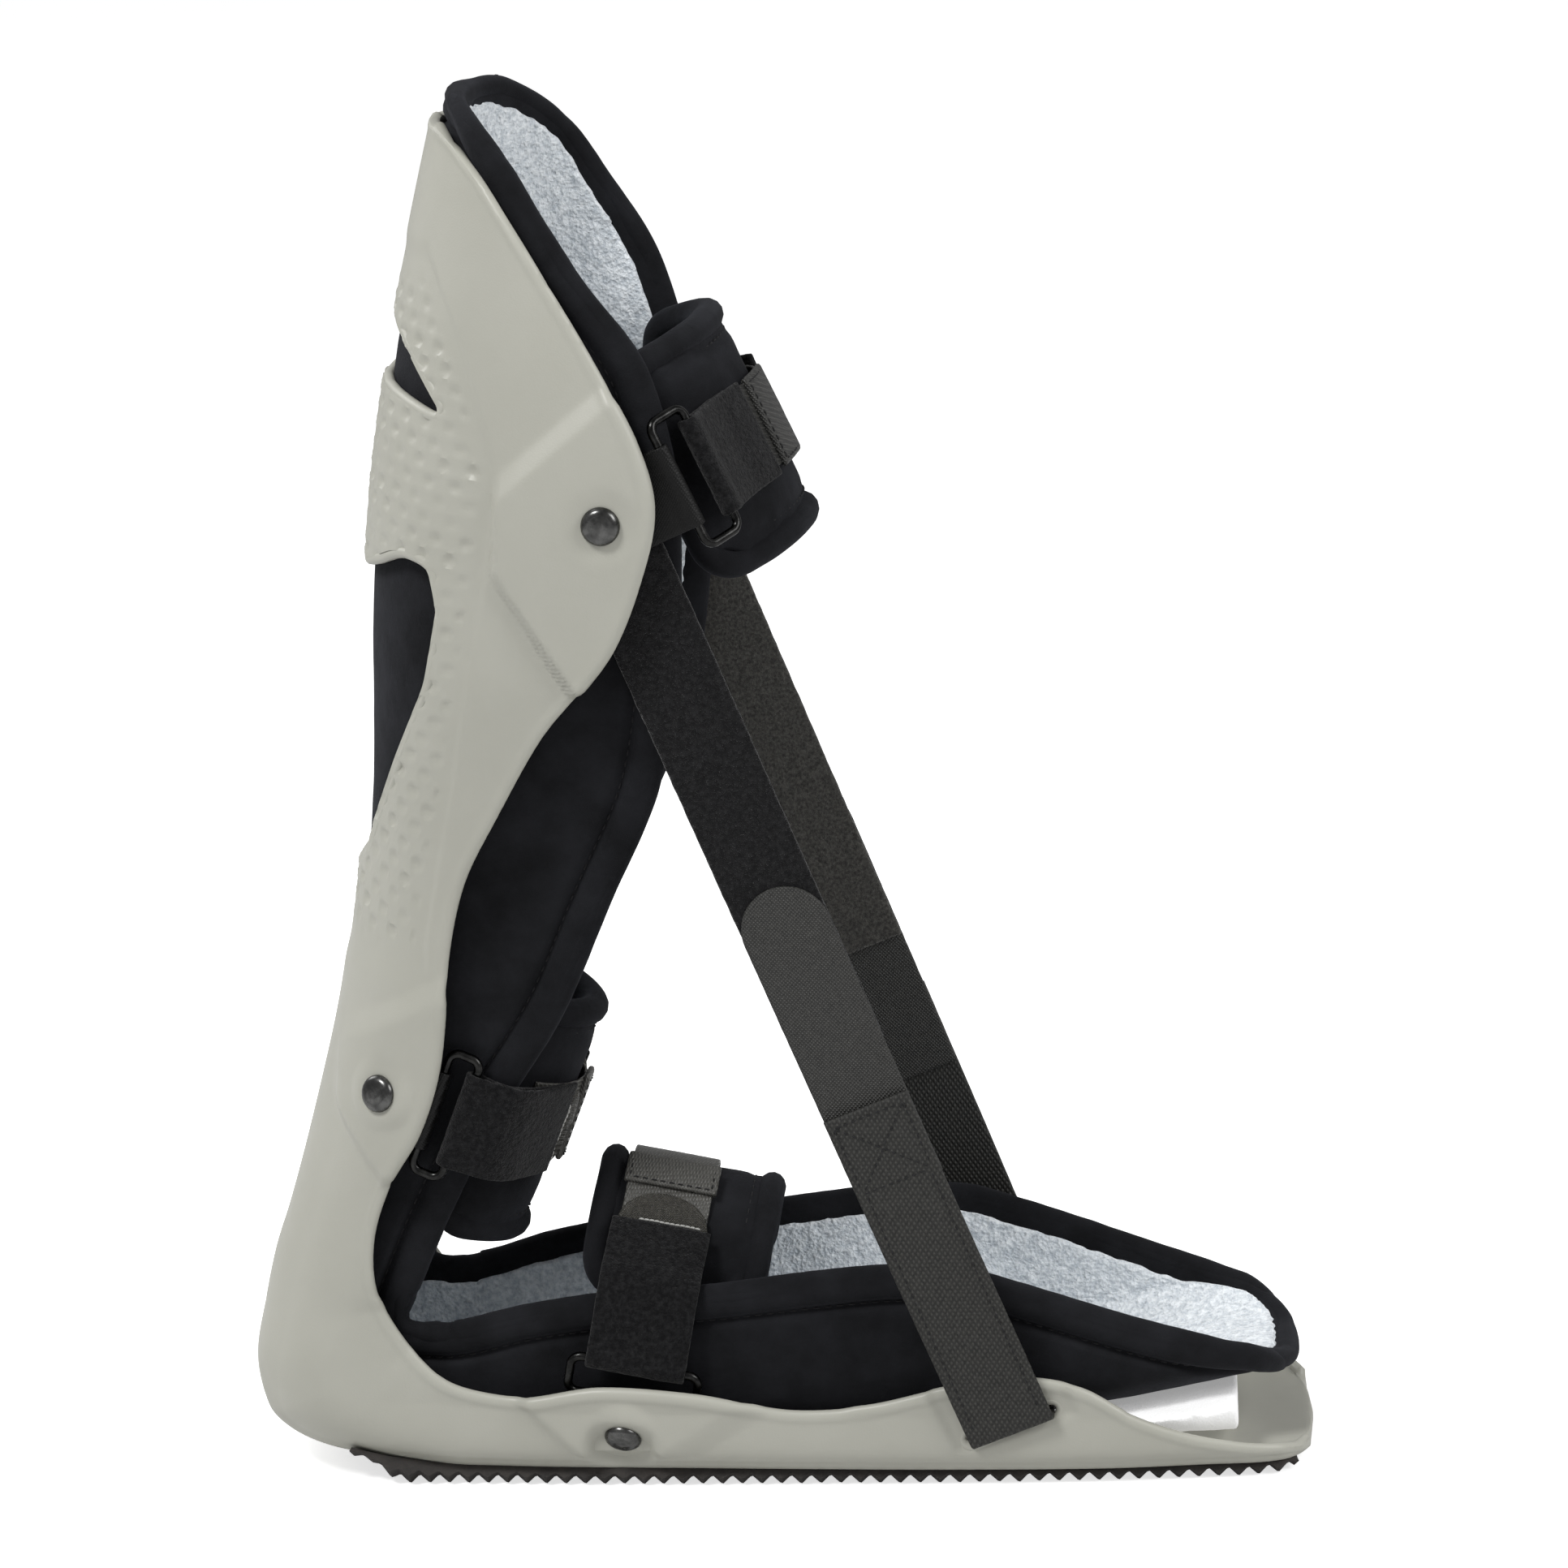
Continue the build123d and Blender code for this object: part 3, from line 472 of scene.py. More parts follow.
def tube(path, radius, sides, closed_path=False, flat=1.0, normal=None):
    """Vertices and faces of a round or flattened tube along a path."""
    path = np.asarray(path, float)
    n = len(path)
    if closed_path:
        tangent = unit(np.roll(path, -1, 0) - np.roll(path, 1, 0))
    else:
        tangent = unit(np.gradient(path, axis=0))
    if normal is None:
        normal = np.zeros_like(path)
        up = np.array([0.3, 0.2, 1.0])
        for i in range(n):
            up = up - tangent[i] * (up @ tangent[i])
            up = up / np.linalg.norm(up)
            normal[i] = up
    side = unit(np.cross(tangent, normal))
    normal = unit(np.cross(side, tangent))
    radius = np.broadcast_to(np.asarray(radius, float).reshape(-1, 1), (n, 1))
    turn = np.arange(sides) / sides * 2 * math.pi
    rings = (path[:, None] + normal[:, None] * (np.cos(turn)[None, :, None] * radius[:, None] * flat)
             + side[:, None] * (np.sin(turn)[None, :, None] * radius[:, None]))
    return rings.reshape(-1, 3), ring_faces(n, sides, closed_path)


def joined(parts):
    """Several (vertices, faces) as one."""
    verts, faces, start = [], [], 0
    for v, f in parts:
        verts.append(np.asarray(v, float))
        faces += [[int(i) + start for i in face] for face in f]
        start += len(v)
    return np.concatenate(verts), faces


def stitches(path, normal, pitch, length, radius):
    """Short thread capsules along a seam, sunk a little into the cloth."""
    along = run_length(path)
    normal = np.broadcast_to(normal, path.shape)
    parts = []
    for k in range(int(along[-1] / pitch)):
        at = (k + 0.5) * pitch + np.linspace(-0.5, 0.5, 5) * length
        p = np.stack([np.interp(at, along, path[:, c]) for c in range(3)], 1)
        nrm = unit(np.stack([np.interp(at, along, normal[:, c]) for c in range(3)], 1))
        lift = np.array([-.5, .5, .8, .5, -.5])[:, None] * radius - .05
        parts.append(tube(p + nrm * lift, radius * np.array([.5, 1, 1, 1, .5]), 6))
    return joined(parts)


# ------------------------------------------------------------------ the bent trough
def nested(spine, side):
    """Stations of a trough that lies inside the shell's, off its spine and sides."""
    rows = []
    for x, z, angle, width, depth, square, _ in STATIONS[:-1]:
        share = (x - LIFT_START) / (LIFT_END - LIFT_START)
        lift = TOE_LIFT * min(max(share, 0.0), 1.05) if angle == 90 else 0.0
        c, d = cos_sin(angle)
        rows.append((x + spine * c, z + spine * d + lift, angle, width - min(side, 0.6 * width),
                     depth - spine, square, LINER_SLOPE))
    return rows


class Sheet:
    """A grid of points over the trough out to an outline in the side view."""

    def __init__(self, stations, outline, step, columns, least, taper=0.0):
        s = np.array(stations, float)
        length = run_length(s[:, :2])
        at = np.linspace(0, length[-1], int(length[-1] / step) + 1)
        rows = hermite(length, s, at, limited=True)
        self.outline = outline
        grid, inward, arcs, kept, halves, fade = [], [], [], [], [], []
        start = None
        for along, row in zip(at, rows):
            n, y, arc = self.half(row)
            depth = self.reach(row)
            if along < length[-1] / 2 and depth < least:
                continue
            share = 1.0
            if taper:
                start = along if start is None else start
                near_end = max(1 - (along - start) / taper, (along - length[-1]) / taper + 1, 0)
                share = math.sqrt(max(1 - near_end ** 2, 0))
                if share < .35:
                    continue
                depth = depth * share
            fade.append(share)
            depth = max(depth, .03 if taper else .8)
            edge = np.interp(depth, n, arc)
            s_at = np.linspace(0, edge, columns + 1)
            nn, yy = np.interp(s_at, arc, n), np.interp(s_at, arc, y)
            c, d = cos_sin(row[2])
            half = np.stack([row[0] + nn * c, yy, row[1] + nn * d], 1)
            grid.append(np.vstack([half[:0:-1] * (1, -1, 1), half]))
            arcs.append(np.r_[-s_at[:0:-1], s_at])
            inward.append((c, 0, d))
            kept.append(along)
            halves.append((row, n, y))
        self.points = np.array(grid)
        self.arc = np.array(arcs)
        self.along = np.array(kept)
        self.rows = halves
        self.middle = columns
        self.fade = np.array(fade)[:, None, None]
        normal = np.cross(np.gradient(self.points, axis=0), np.gradient(self.points, axis=1))
        if (normal[:, columns] * np.array(inward)).sum() > 0:
            normal = -normal
        self.normal = unit(normal)

    @staticmethod
    def half(row):
        """Depth, half-width and arc length round half of a station's cross-section."""
        turn = np.linspace(0, 1, 160) ** 1.5 * math.pi / 2
        far = np.linspace(0, 75, 100)[1:]
        flat = row[7] if len(row) > 7 else 1.0
        n = np.r_[row[4] * (1 - np.clip(np.cos(turn), 0, 1) ** flat), row[4] + far]
        y = np.r_[row[3] * np.sin(turn) ** (2 / row[5]), row[3] + row[6] * far]
        return n, y, run_length(np.stack([n, y], 1))

    def reach(self, row):
        """Depth at which a station's cross-section leaves the outline."""
        c, s = cos_sin(row[2])
        rel = self.outline - row[:2]
        across = rel[:, 1] * c - rel[:, 0] * s
        along = rel[:, 0] * c + rel[:, 1] * s
        k = np.where(across[:-1] * across[1:] <= 0)[0]
        hits = along[k] + (along[k + 1] - along[k]) * across[k] / (across[k] - across[k + 1] + 1e-12)
        hits = hits[hits > 0]
        return hits.min() if len(hits) else 0.0

    def edge_distance(self):
        """How far each point is from the sheet's own edge."""
        p = self.points
        tree = tree_of(np.concatenate([spaced(line, .8) for line in (p[:, 0], p[:, -1], p[0], p[-1])]))
        return np.array([tree.find(v)[2] for v in p.reshape(-1, 3)]).reshape(p.shape[:2])

    def at_side(self, x, z):
        """Half-width of the sheet's surface where the side view shows (x, z), or nan."""
        last = None
        for row, n, y in self.rows:
            c, s = cos_sin(row[2])
            across = (z - row[1]) * c - (x - row[0]) * s
            along = (x - row[0]) * c + (z - row[1]) * s
            if last is not None and last[0] * across <= 0 and along > -0.5 and last[1] > -0.5:
                share = last[0] / (last[0] - across + 1e-12)
                w0 = np.interp(max(last[1], 0), last[2], last[3])
                w1 = np.interp(max(along, 0), n, y)
                return w0 + share * (w1 - w0)
            last = (across, along, n, y)
        return np.nan


def crease(x, z, inside, walls):
    """1 inside a set of straight creases, falling to 0 across each crease's own width."""
    share = np.ones_like(x)
    for (x0, z0), (x1, z1), width in walls:
        nx, nz = z1 - z0, x0 - x1
        length = math.hypot(nx, nz)
        d = ((x - x0) * nx + (z - z0) * nz) / length
        if (inside[0] - x0) * nx + (inside[1] - z0) * nz < 0:
            d = -d
        t = np.clip(d / width + 0.5, 0, 1)
        share = share * (0.7 * t + 0.3 * ramp(t))
    return share


def strap_frame(strap):
    """Origin, direction along (p) and direction across (q) of a front strap's plane."""
    c, s = cos_sin(strap["tilt"])
    x, z = strap["origin"]
    return np.array([x, 0, z]), np.array([c, 0, s]), np.array([-s, 0, c])


def rivet_axis(strap, side):
    """Centre and outward axis of a rivet's seat."""
    origin, along, _ = strap_frame(strap)
    out = np.array([0, side, 0.0])
    c, s = cos_sin(strap["lean"])
    return origin + out * strap["wall"], out * c - along * s


def squared(rows):
    """The shell's stations with a flatter, squarer bottom under the foot."""
    out = []
    for x, z, angle, width, depth, square, slope in rows:
        k = float(ramp((angle - 20) / 70)) * float(1 - .1 * ramp((x - 185) / 20))
        if angle == 90:
            width += float(np.interp(x, [170, 190, 198, 203, 206], [0, 2.5, 6, 8.5, 10.5]))
        out.append((x, z - 1.9 * k, angle, width, depth, square * (1 + .95 * k), slope, 1 - .64 * k))
    return out


shell_sheet = Sheet(squared(STATIONS[1:]), smooth_line(SHELL_EDGE, .5), 1.15, 110, 3.5)


def shell_relief(sheet):
    """Raised panels, rivet seats and dimples of the moulded shell, as distance outwards."""
    x, y, z = np.moveaxis(sheet.points, 2, 0)
    side = ramp((np.abs(sheet.normal[..., 1]) - .25) / .35)
    calf = ramp((z - 200) / 10) * crease(
        x, z, (18, 286),
        [((21, 321.5), (-8, 298.5), 6), ((-10.5, 299), (-12.5, 273), 1.6), ((-12.5, 273), (7, 240), 2)])
    ankle = ramp((185 - z) / 10) * ramp((z - 60) / 10) * crease(
        x, z, (-55, 120),
        [((-66, 136), (-37, 151), 7), ((-70.5, 137), (-70.5, 112), 4), ((-70.5, 113), (-53, 90), 4),
         ((-69, 137), (-64, 142), 4)])
    low = ramp((60 - z) / 10)
    foot = low * crease(
        x, z, (9.5, 18), [((-20, 27), (-5, 11.5), 3), ((25, 10.5), (45, 24), 8), ((-5, 10), (22, 10), 3)])
    scoop = low * crease(
        x, z, (118, 16),
        [((98, 28), (106, 11), 2), ((106, 11), (137, 21.5), 2), ((140, 20), (136, 34), 3)])
    front = np.interp(z, [165, 194, 211, 232, 244, 271.6, 298, 310, 336, 357.6],
                      [-40, -33, -28.7, -24.4, -21.8, -15.3, -11, -12.7, -19.8, -29.6])
    band = ramp((front - x) / 2.5 + .5) * ramp((z - 150) / 10) * ramp((362 - z) / 6)
    out = (2.8 * calf + 2.4 * ankle + 1.9 * foot - .9 * scoop - 1.4) * side - .6 * band
    column = np.round(sheet.arc / DIMPLE_PITCH_S)
    along = sheet.along[:, None] - np.where(column % 2 == 1, DIMPLE_PITCH_L / 2, 0)
    row = np.round(along / DIMPLE_PITCH_L)
    r = np.sqrt(((sheet.arc - column * DIMPLE_PITCH_S) / DIMPLE_S) ** 2
                + ((along - row * DIMPLE_PITCH_L) / DIMPLE_L) ** 2)
    dent = np.clip(1 - r ** 2, 0, 1) - .25 * np.exp(-((r - 1.25) / .3) ** 2)
    strength = .75 + .25 * np.sin(column * 12.9 + row * 78.2)
    inside = ramp((front - x - 3) / 2) * ramp((z - 160) / 8) * ramp((352 - z) / 6)
    out = out - DIMPLE_DEEP * dent * inside * strength
    return out + .12 * lumps(sheet.points, 26, 3)


def build_shell():
    """The moulding, cut through at its windows and slots; returns its outer surface."""
    p, normal = shell_sheet.points, shell_sheet.normal
    lip = .28 * np.exp(-(shell_sheet.edge_distance() - .9) ** 2)
    shift = shell_relief(shell_sheet)
    outer = p + normal * (shift + lip)[..., None]
    for strap in STRAPS.values():
        for side in SIDES.values():
            centre, axis = rivet_axis(strap, side)
            rel = outer - centre
            height = rel @ axis
            away = np.linalg.norm(rel - height[..., None] * axis, axis=-1)
            near = ramp((12 - away) / 5.5) * (np.abs(height) < 12)
            outer = outer + (near * (1.0 - height))[..., None] * axis
    inner = p - normal * (SHELL_T + .15 * lip - .9 * np.minimum(shift, 0))[..., None]
    shell = piece("shell_moulding", *closed(outer, inner, 4), None, PLASTIC)
    outlines = grown(CHEVRON, RIM_R), grown(LONG_WINDOW, RIM_R), slot_outline(0)
    cutters = [prism(f"cutter_{n}", outline) for n, outline in enumerate(outlines)]
    for cutter in cutters:
        m = shell.modifiers.new("cut", "BOOLEAN")
        m.object, m.operation, m.solver = cutter, "DIFFERENCE", "MANIFOLD"
    apply_modifiers(shell)
    for cutter in cutters:
        bpy.data.objects.remove(cutter)
    shell.data.shade_smooth()
    shell.data.set_sharp_from_angle(angle=math.radians(38))
    dress(shell, "shell", ["shell"])
    return outer


def grown(outline, amount):
    """A closed outline rounded at its corners and moved outwards."""
    p = relaxed(ring(np.asarray(outline, float), .8), 14)
    d = unit(np.roll(p, -1, 0) - np.roll(p, 1, 0))
    area = (p[:, 0] * np.roll(p[:, 1], -1) - p[:, 1] * np.roll(p[:, 0], -1)).sum()
    out = np.stack([d[:, 1], -d[:, 0]], 1) * np.sign(area)
    return p + out * amount


def slot_outline(grow):
    r = SLOT["width"] / 2 + grow
    turn = np.linspace(-math.pi / 2, math.pi / 2, 9)
    right = np.stack([(SLOT["length"] - SLOT["width"]) / 2 + r * np.cos(turn), r * np.sin(turn)], 1)
    c, s = cos_sin(SLOT["tilt"])
    return np.vstack([right, -right]) @ np.array([(c, s), (-s, c)]) + SLOT["centre"]


def prism(name, outline):
    """A cutter as wide as the whole shell."""
    n = len(outline)
    verts = [(x, y, z) for y in (-120, 120) for x, z in outline]
    faces = [tuple(range(n)), tuple(range(n, 2 * n))]
    faces += [(i, (i + 1) % n, n + (i + 1) % n, n + i) for i in range(n)]
    obj = piece(name, verts, faces, None, PLASTIC)
    return obj


def apply_modifiers(obj):
    dg = bpy.context.evaluated_depsgraph_get()
    mesh = bpy.data.meshes.new_from_object(obj.evaluated_get(dg))
    obj.modifiers.clear()
    obj.data = mesh


def side_loop(outline):
    """An outline laid on the left of the shell, where the shell is there to hold it."""
    loop = np.array([(x, shell_sheet.at_side(x, z), z) for x, z in outline])
    return loop[~np.isnan(loop[:, 1])]


shell_outer = build_shell()


def window_rims():
    """Rounded edges round the openings of the shell."""
    parts = []
    flat, nrm = shell_outer.reshape(-1, 3), shell_sheet.normal.reshape(-1, 3)
    tree = tree_of(flat)

    def settle(path):
        """Path moved to the middle of the wall."""
        out = []
        for v in path:
            hits = tree.find_n(v, 6)
            nearest = [h[1] for h in hits]
            w = np.array([1 / (h[2] + .2) for h in hits])[:, None]
            n = unit((nrm[nearest] * w).sum(0))
            base = (flat[nearest] * w).sum(0) / w.sum()
            out.append(v - n * ((v - base) @ n) - n * SHELL_T / 2)
        return np.array(out)

    for outline in (LONG_WINDOW, CHEVRON):
        outline = grown(outline, RIM_R)
        near = side_loop(np.roll(outline, -int(np.argmin(outline[:, 0])), 0))
        loop = settle(np.vstack([near, (near * (1, -1, 1))[::-1]]))
        parts.append(tube(relaxed(ring(loop, 1.6), 2), 1.62, 10, True))
    for side in (-1, 1):
        loop = settle(side_loop(slot_outline(.2)) * (1, side, 1))
        parts.append(tube(ring(loop, 1.4), 1.6, 10, True))
    piece("shell_window_rims", *joined(parts), "shell", PLASTIC, slot="shell_plastic")


window_rims()


# ------------------------------------------------------------------ liner
def opened(sheet):
    """The soft liner's top pushed back on the right and spread open on the left."""
    p = sheet.points
    high = ramp((p[..., 2] - 325) / 30) * (1 - .4 * ramp((p[..., 2] - 385) / 20))
    share = sheet.arc / sheet.arc[:, -1:]
    right, left = ramp((-share - .5) / .45), ramp((share - .35) / .5)
    p[..., 0] += high * (3.5 * left - 5.5 * right)
    p[..., 1] += high * 5.0 * left
    return sheet


liner_outline = np.vstack([smooth_line(CALF_EDGE, .5), smooth_line(FOOT_EDGE, .5)[1:]])
liner_rows = nested(SHELL_T + SPINE_GAP, SHELL_T + SIDE_GAP)
liner = opened(Sheet(liner_rows, liner_outline, 1.4, 84, 1.0, 13.0))


def rolled_edge(p, normal):
    """Smooth closed path just inside the liner's boundary, and its normals."""
    mid = p - normal * LINER_T / 2
    inward = np.zeros_like(p)
    inward[0] += unit(mid[3] - mid[0])
    inward[-1] += unit(mid[-4] - mid[-1])
    inward[:, 0] += unit(mid[:, 3] - mid[:, 0])
    inward[:, -1] += unit(mid[:, -4] - mid[:, -1])
    both = np.concatenate([mid + unit(inward) * 1.8, normal], 2)
    loop = np.concatenate([both[0], both[1:, -1], both[-1, -2::-1], both[-2:0:-1, 0]])
    gap = np.linalg.norm(np.diff(loop[:, :3], axis=0), axis=1)
    loop = loop[np.r_[True, gap > .05]]
    along = run_length(loop[:, :3])
    at = np.arange(0, along[-1], 1.8)
    loop = relaxed(np.stack([np.interp(at, along, loop[:, k]) for k in range(6)], 1), 22)
    return loop[:, :3], unit(loop[:, 3:])


def build_liner():
    """The padded cover with its rolled edge, and the stitches of its seam."""
    p, normal = liner.points, liner.normal
    e = liner.edge_distance()
    seam = np.exp(-((e - SEAM_AT) / 1.2) ** 2)
    puff = np.exp(-((e - 3.6) / 2.9) ** 2)
    soft = .16 * lumps(p, 21, 5) + .10 * lumps(p, 6, 6)
    outer = p + normal * (.8 * puff - 2.2 * seam + soft)[..., None]
    inner = p - normal * (LINER_T + .8 * puff - 1.5 * seam + .5 * soft)[..., None]
    mid = p - normal * LINER_T / 2
    thin = np.clip(liner.fade * 1.3, .06, 1)
    outer, inner = mid + (outer - mid) * thin, mid + (inner - mid) * thin
    loop, away = rolled_edge(p, normal)
    ends = [np.linalg.norm(loop - p[i, liner.middle], axis=1) for i in (0, -1)]
    thick = ROLL_R + 1.1 * ramp(1 - np.minimum(*ends) / 16)
    thick = thick + .18 * lumps(loop, 11, 33) + .1 * lumps(loop, 4, 34)
    roll = tube(loop, thick, 14, True, 1.0, away)
    piece("liner_cover_cloth", *joined([closed(outer, inner, 5), roll]), "shell", FABRIC,
          ["liner_cover", "liner_binding"], "liner_fabric")
    parts = []
    from_right = np.arange(p.shape[1])
    for columns in (from_right[:liner.middle], from_right[::-1][:liner.middle]):
        for base, sign in ((outer, 1), (inner, -1)):
            path, nrm = [], []
            for i in range(p.shape[0]):
                far = e[i, columns]
                k = np.argmax(far > SEAM_AT)
                if far[k] > SEAM_AT and k > 0:
                    share = (SEAM_AT - far[k - 1]) / (far[k] - far[k - 1] + 1e-9)
                    a, b = base[i, columns[k - 1]], base[i, columns[k]]
                    path.append(a + share * (b - a))
                    nrm.append(normal[i, columns[k]] * sign)
            path = np.array(path)
            for _ in range(3):
                path[1:-1] = (path[:-2] + 2 * path[1:-1] + path[2:]) / 4
            parts.append(stitches(path, np.array(nrm), 3.4, 2.3, .24))
    piece("liner_seam_thread", *joined(parts), "shell", THREAD, slot="liner_fabric")


build_liner()


def build_terry():
    """The looped lining, which sinks away at a ragged line short of the liner's edge."""
    sheet = opened(Sheet(liner_rows, liner_outline, 1.0, 118, 3.0, 13.0))
    p, normal = sheet.points, sheet.normal
    ragged = 4.6 + .5 * lumps(p, 9, 11) + .5 * lumps(p, 2.6, 12)
    high = ramp((sheet.edge_distance() - ragged) / 1.1)
    loops = .35 * lumps(p, 1.7, 13) + .22 * lumps(p, 3.4, 14)
    top = p - normal * (LINER_T - 1.2 + high * (2.9 + loops))[..., None]
    back = p - normal * (LINER_T - 1.6)
    piece("liner_terry_pile", *closed(top, back, 1), "shell", TERRY, ["liner_terry"], "terry")


build_terry()


# ------------------------------------------------------------------ straps and pads
def lay(strap, pw, side=1, q=0.0):
    """Points (p, w) of a strap's plane in the row frame."""
    o, d, b = strap_frame(strap)
    pw = np.asarray(pw, float)
    q = np.broadcast_to(np.asarray(q, float).reshape(-1, 1), (len(pw), 1))
    return o + pw[:, :1] * d + pw[:, 1:] * np.array([0, side, 0]) + q * b


def ribbon(path, across, half, thick, step, rough, grain, seed, edge=None, wander=0.0):
    """A flat band with rounded edges along a path: vertices and faces."""
    path = np.asarray(path, float)
    n = len(path)
    tangent = unit(np.gradient(path, axis=0))
    across = np.broadcast_to(np.asarray(across, float), path.shape)
    normal = unit(np.cross(tangent, across))
    across = unit(np.cross(normal, tangent))
    half = np.broadcast_to(np.asarray(half, float).reshape(-1, 1), (n, 1))
    r = edge if edge is not None else thick / 2
    cols = max(int(2 * float(half.max()) / step), 4)
    flat = np.linspace(-1, 1, cols + 1)
    turn = np.linspace(0, math.pi, 5)[1:-1]
    level = np.ones(cols + 1)
    section_a = np.r_[flat, np.ones(3), flat[::-1], -np.ones(3)]
    section_r = np.r_[level * 0, np.sin(turn), level * 0, np.sin(turn)]
    section_b = np.r_[level, np.cos(turn), -level, -np.cos(turn)]
    inner = np.maximum(half - r, .05)
    a = section_a[None, :] * (inner + section_r[None, :] * r)
    b = np.broadcast_to(section_b[None, :] * thick / 2, a.shape)
    pts = path[:, None] + across[:, None] * a[..., None] + normal[:, None] * b[..., None]
    if wander:
        edge_noise = lumps(path, 6, seed + 7)[:, None] * wander * np.abs(section_a)[None, :] ** 3
        pts = pts + normal[:, None] * edge_noise[..., None]
    away = unit(pts - (path[:, None] + across[:, None] * (section_a[None, :, None] * inner[..., None])))
    shake = lumps(pts, grain, seed + 1) * .6 + lumps(pts, grain * 2.6, seed + 2) * .6
    pts = pts + away * (shake * rough)[..., None]
    k = pts.shape[1]
    verts = pts.reshape(-1, 3)
    i = np.arange(n - 1)[:, None] * k
    j = np.arange(k)[None, :]
    one, two = (i + j).ravel(), (i + (j + 1) % k).ravel()
    faces = np.stack([one, two, two + k, one + k], 1).tolist()
    for row in (0, n - 1):
        s = row * k
        for c in range(cols):
            faces.append((s + c, s + c + 1, s + 2 * cols + 3 - c, s + 2 * cols + 4 - c))
        faces.append((s + cols, s + cols + 1, s + cols + 2, s + cols + 3, s + cols + 4))
        faces.append((s, s + 2 * cols + 7, s + 2 * cols + 6, s + 2 * cols + 5, s + 2 * cols + 4))
    return verts, faces


def fold_path(core, radius, layer, long_end, short_end):
    """Path (p, w) of webbing up the outer side of core, round the bar at core[0], and back inside."""
    core = smooth_line(core, .8)
    tangent = unit(np.gradient(core, axis=0))
    normal = np.stack([-tangent[:, 1], tangent[:, 0]], 1)
    if normal[0, 1] < 0 or (normal[0, 1] == 0 and normal[0, 0] < 0):
        normal = -normal
    along = run_length(core)
    off = layer / 2 + .05 + (radius - layer / 2) * np.exp(-(along / 3.2) ** 2)
    outer = core + normal * off[:, None]
    inner = core - normal * off[:, None]
    back = -tangent[0]
    turn = np.linspace(0, math.pi, 9)[1:-1]
    arc = core[0] + np.array([normal[0] * math.cos(t) + back * math.sin(t) for t in turn]) * off[0]
    keep_out = along <= along[-1] - long_end
    keep_in = along <= along[-1] - short_end
    return np.vstack([outer[keep_out][::-1], arc, inner[keep_in]])


def pad_point(pad, outset, turn):
    t = np.radians(turn)
    return np.stack([pad["centre"] + (pad["a"] + outset) * np.cos(t), (pad["b"] + outset) * np.sin(t)], -1)


def pad_surface(strap, outset, turn, q):
    """Point and outward normal on a pad's ellipse at angle turn (towards the right when positive)."""
    pad = strap["pad"]
    o, d, b = strap_frame(strap)
    pw = pad_point(pad, outset, turn)
    t = np.radians(turn)
    nrm = unit(np.stack([(pad["b"] + outset) * np.cos(t), (pad["a"] + outset) * np.sin(t)], -1))
    point = o + pw[..., :1] * d - pw[..., 1:] * np.array([0, 1, 0]) + np.asarray(q, float)[..., None] * b
    normal = nrm[..., :1] * d - nrm[..., 1:] * np.array([0, 1, 0])
    return point, normal


def pad_outline(strap, inset):
    """Angle and height (turn, q) round a pad's edge, drawn in by inset mm."""
    pad = strap["pad"]
    turn = np.linspace(-PAD_WRAP, PAD_WRAP, 401)
    pw = pad_point(pad, -PAD_T / 2, turn)
    s = run_length(pw)
    half = s[-1] / 2
    low, high = pad["low"] + inset, pad["high"] - inset
    right = half - inset
    r = max(PAD_CORNER - inset * .6, 2.0)
    quarter = np.linspace(0, math.pi / 2, 8)
    loop = []
    corners = (right - r, high - r), (r - right, high - r), (r - right, low + r), (right - r, low + r)
    for k, corner in enumerate(corners):
        a = quarter + k * math.pi / 2
        loop.append(np.stack([np.cos(a), np.sin(a)], 1) * r + corner)
    loop = ring(np.concatenate(loop), 1.4)
    return np.interp(loop[:, 0], s - half, turn), loop[:, 1]


def vertex_array(obj, attribute):
    values = np.zeros(len(obj.data.vertices) * 3, np.float32)
    obj.data.vertices.foreach_get(attribute, values)
    return values.reshape(-1, 3).astype(float)


def move_vertices(obj, to):
    obj.data.vertices.foreach_set("co", to.astype(np.float32).ravel())
    obj.data.update()


def refine(obj, kind, **settings):
    """Adds a modifier and applies it."""
    modifier = obj.modifiers.new(kind, kind)
    for key, value in settings.items():
        setattr(modifier, key, value)
    apply_modifiers(obj)


def dye(obj, material):
    obj.data.shade_smooth()
    obj.data.materials.clear()
    obj.data.materials.append(material)


def inflate(obj, pressure, cap, frames=20):
    """Swells a closed cushion with Cloth and keeps each point within cap of where it began."""
    start = vertex_array(obj, "co")
    cloth = obj.modifiers.new("Cloth", "CLOTH")
    s = cloth.settings
    s.quality = 5
    s.use_pressure = True
    s.uniform_pressure_force = pressure
    s.tension_stiffness = s.compression_stiffness = 12
    s.shear_stiffness = 8
    s.bending_stiffness = .3
    s.effector_weights.gravity = 0
    cloth.collision_settings.use_collision = False
    scene = bpy.context.scene
    cloth.point_cache.frame_start, cloth.point_cache.frame_end = 1, frames
    for f in range(1, frames + 1):
        scene.frame_set(f)
    apply_modifiers(obj)
    scene.frame_set(1)
    move = vertex_array(obj, "co") - start
    size = np.linalg.norm(move, axis=1, keepdims=True)
    move_vertices(obj, start + move * np.minimum(1, cap * MM / np.maximum(size, 1e-9)))


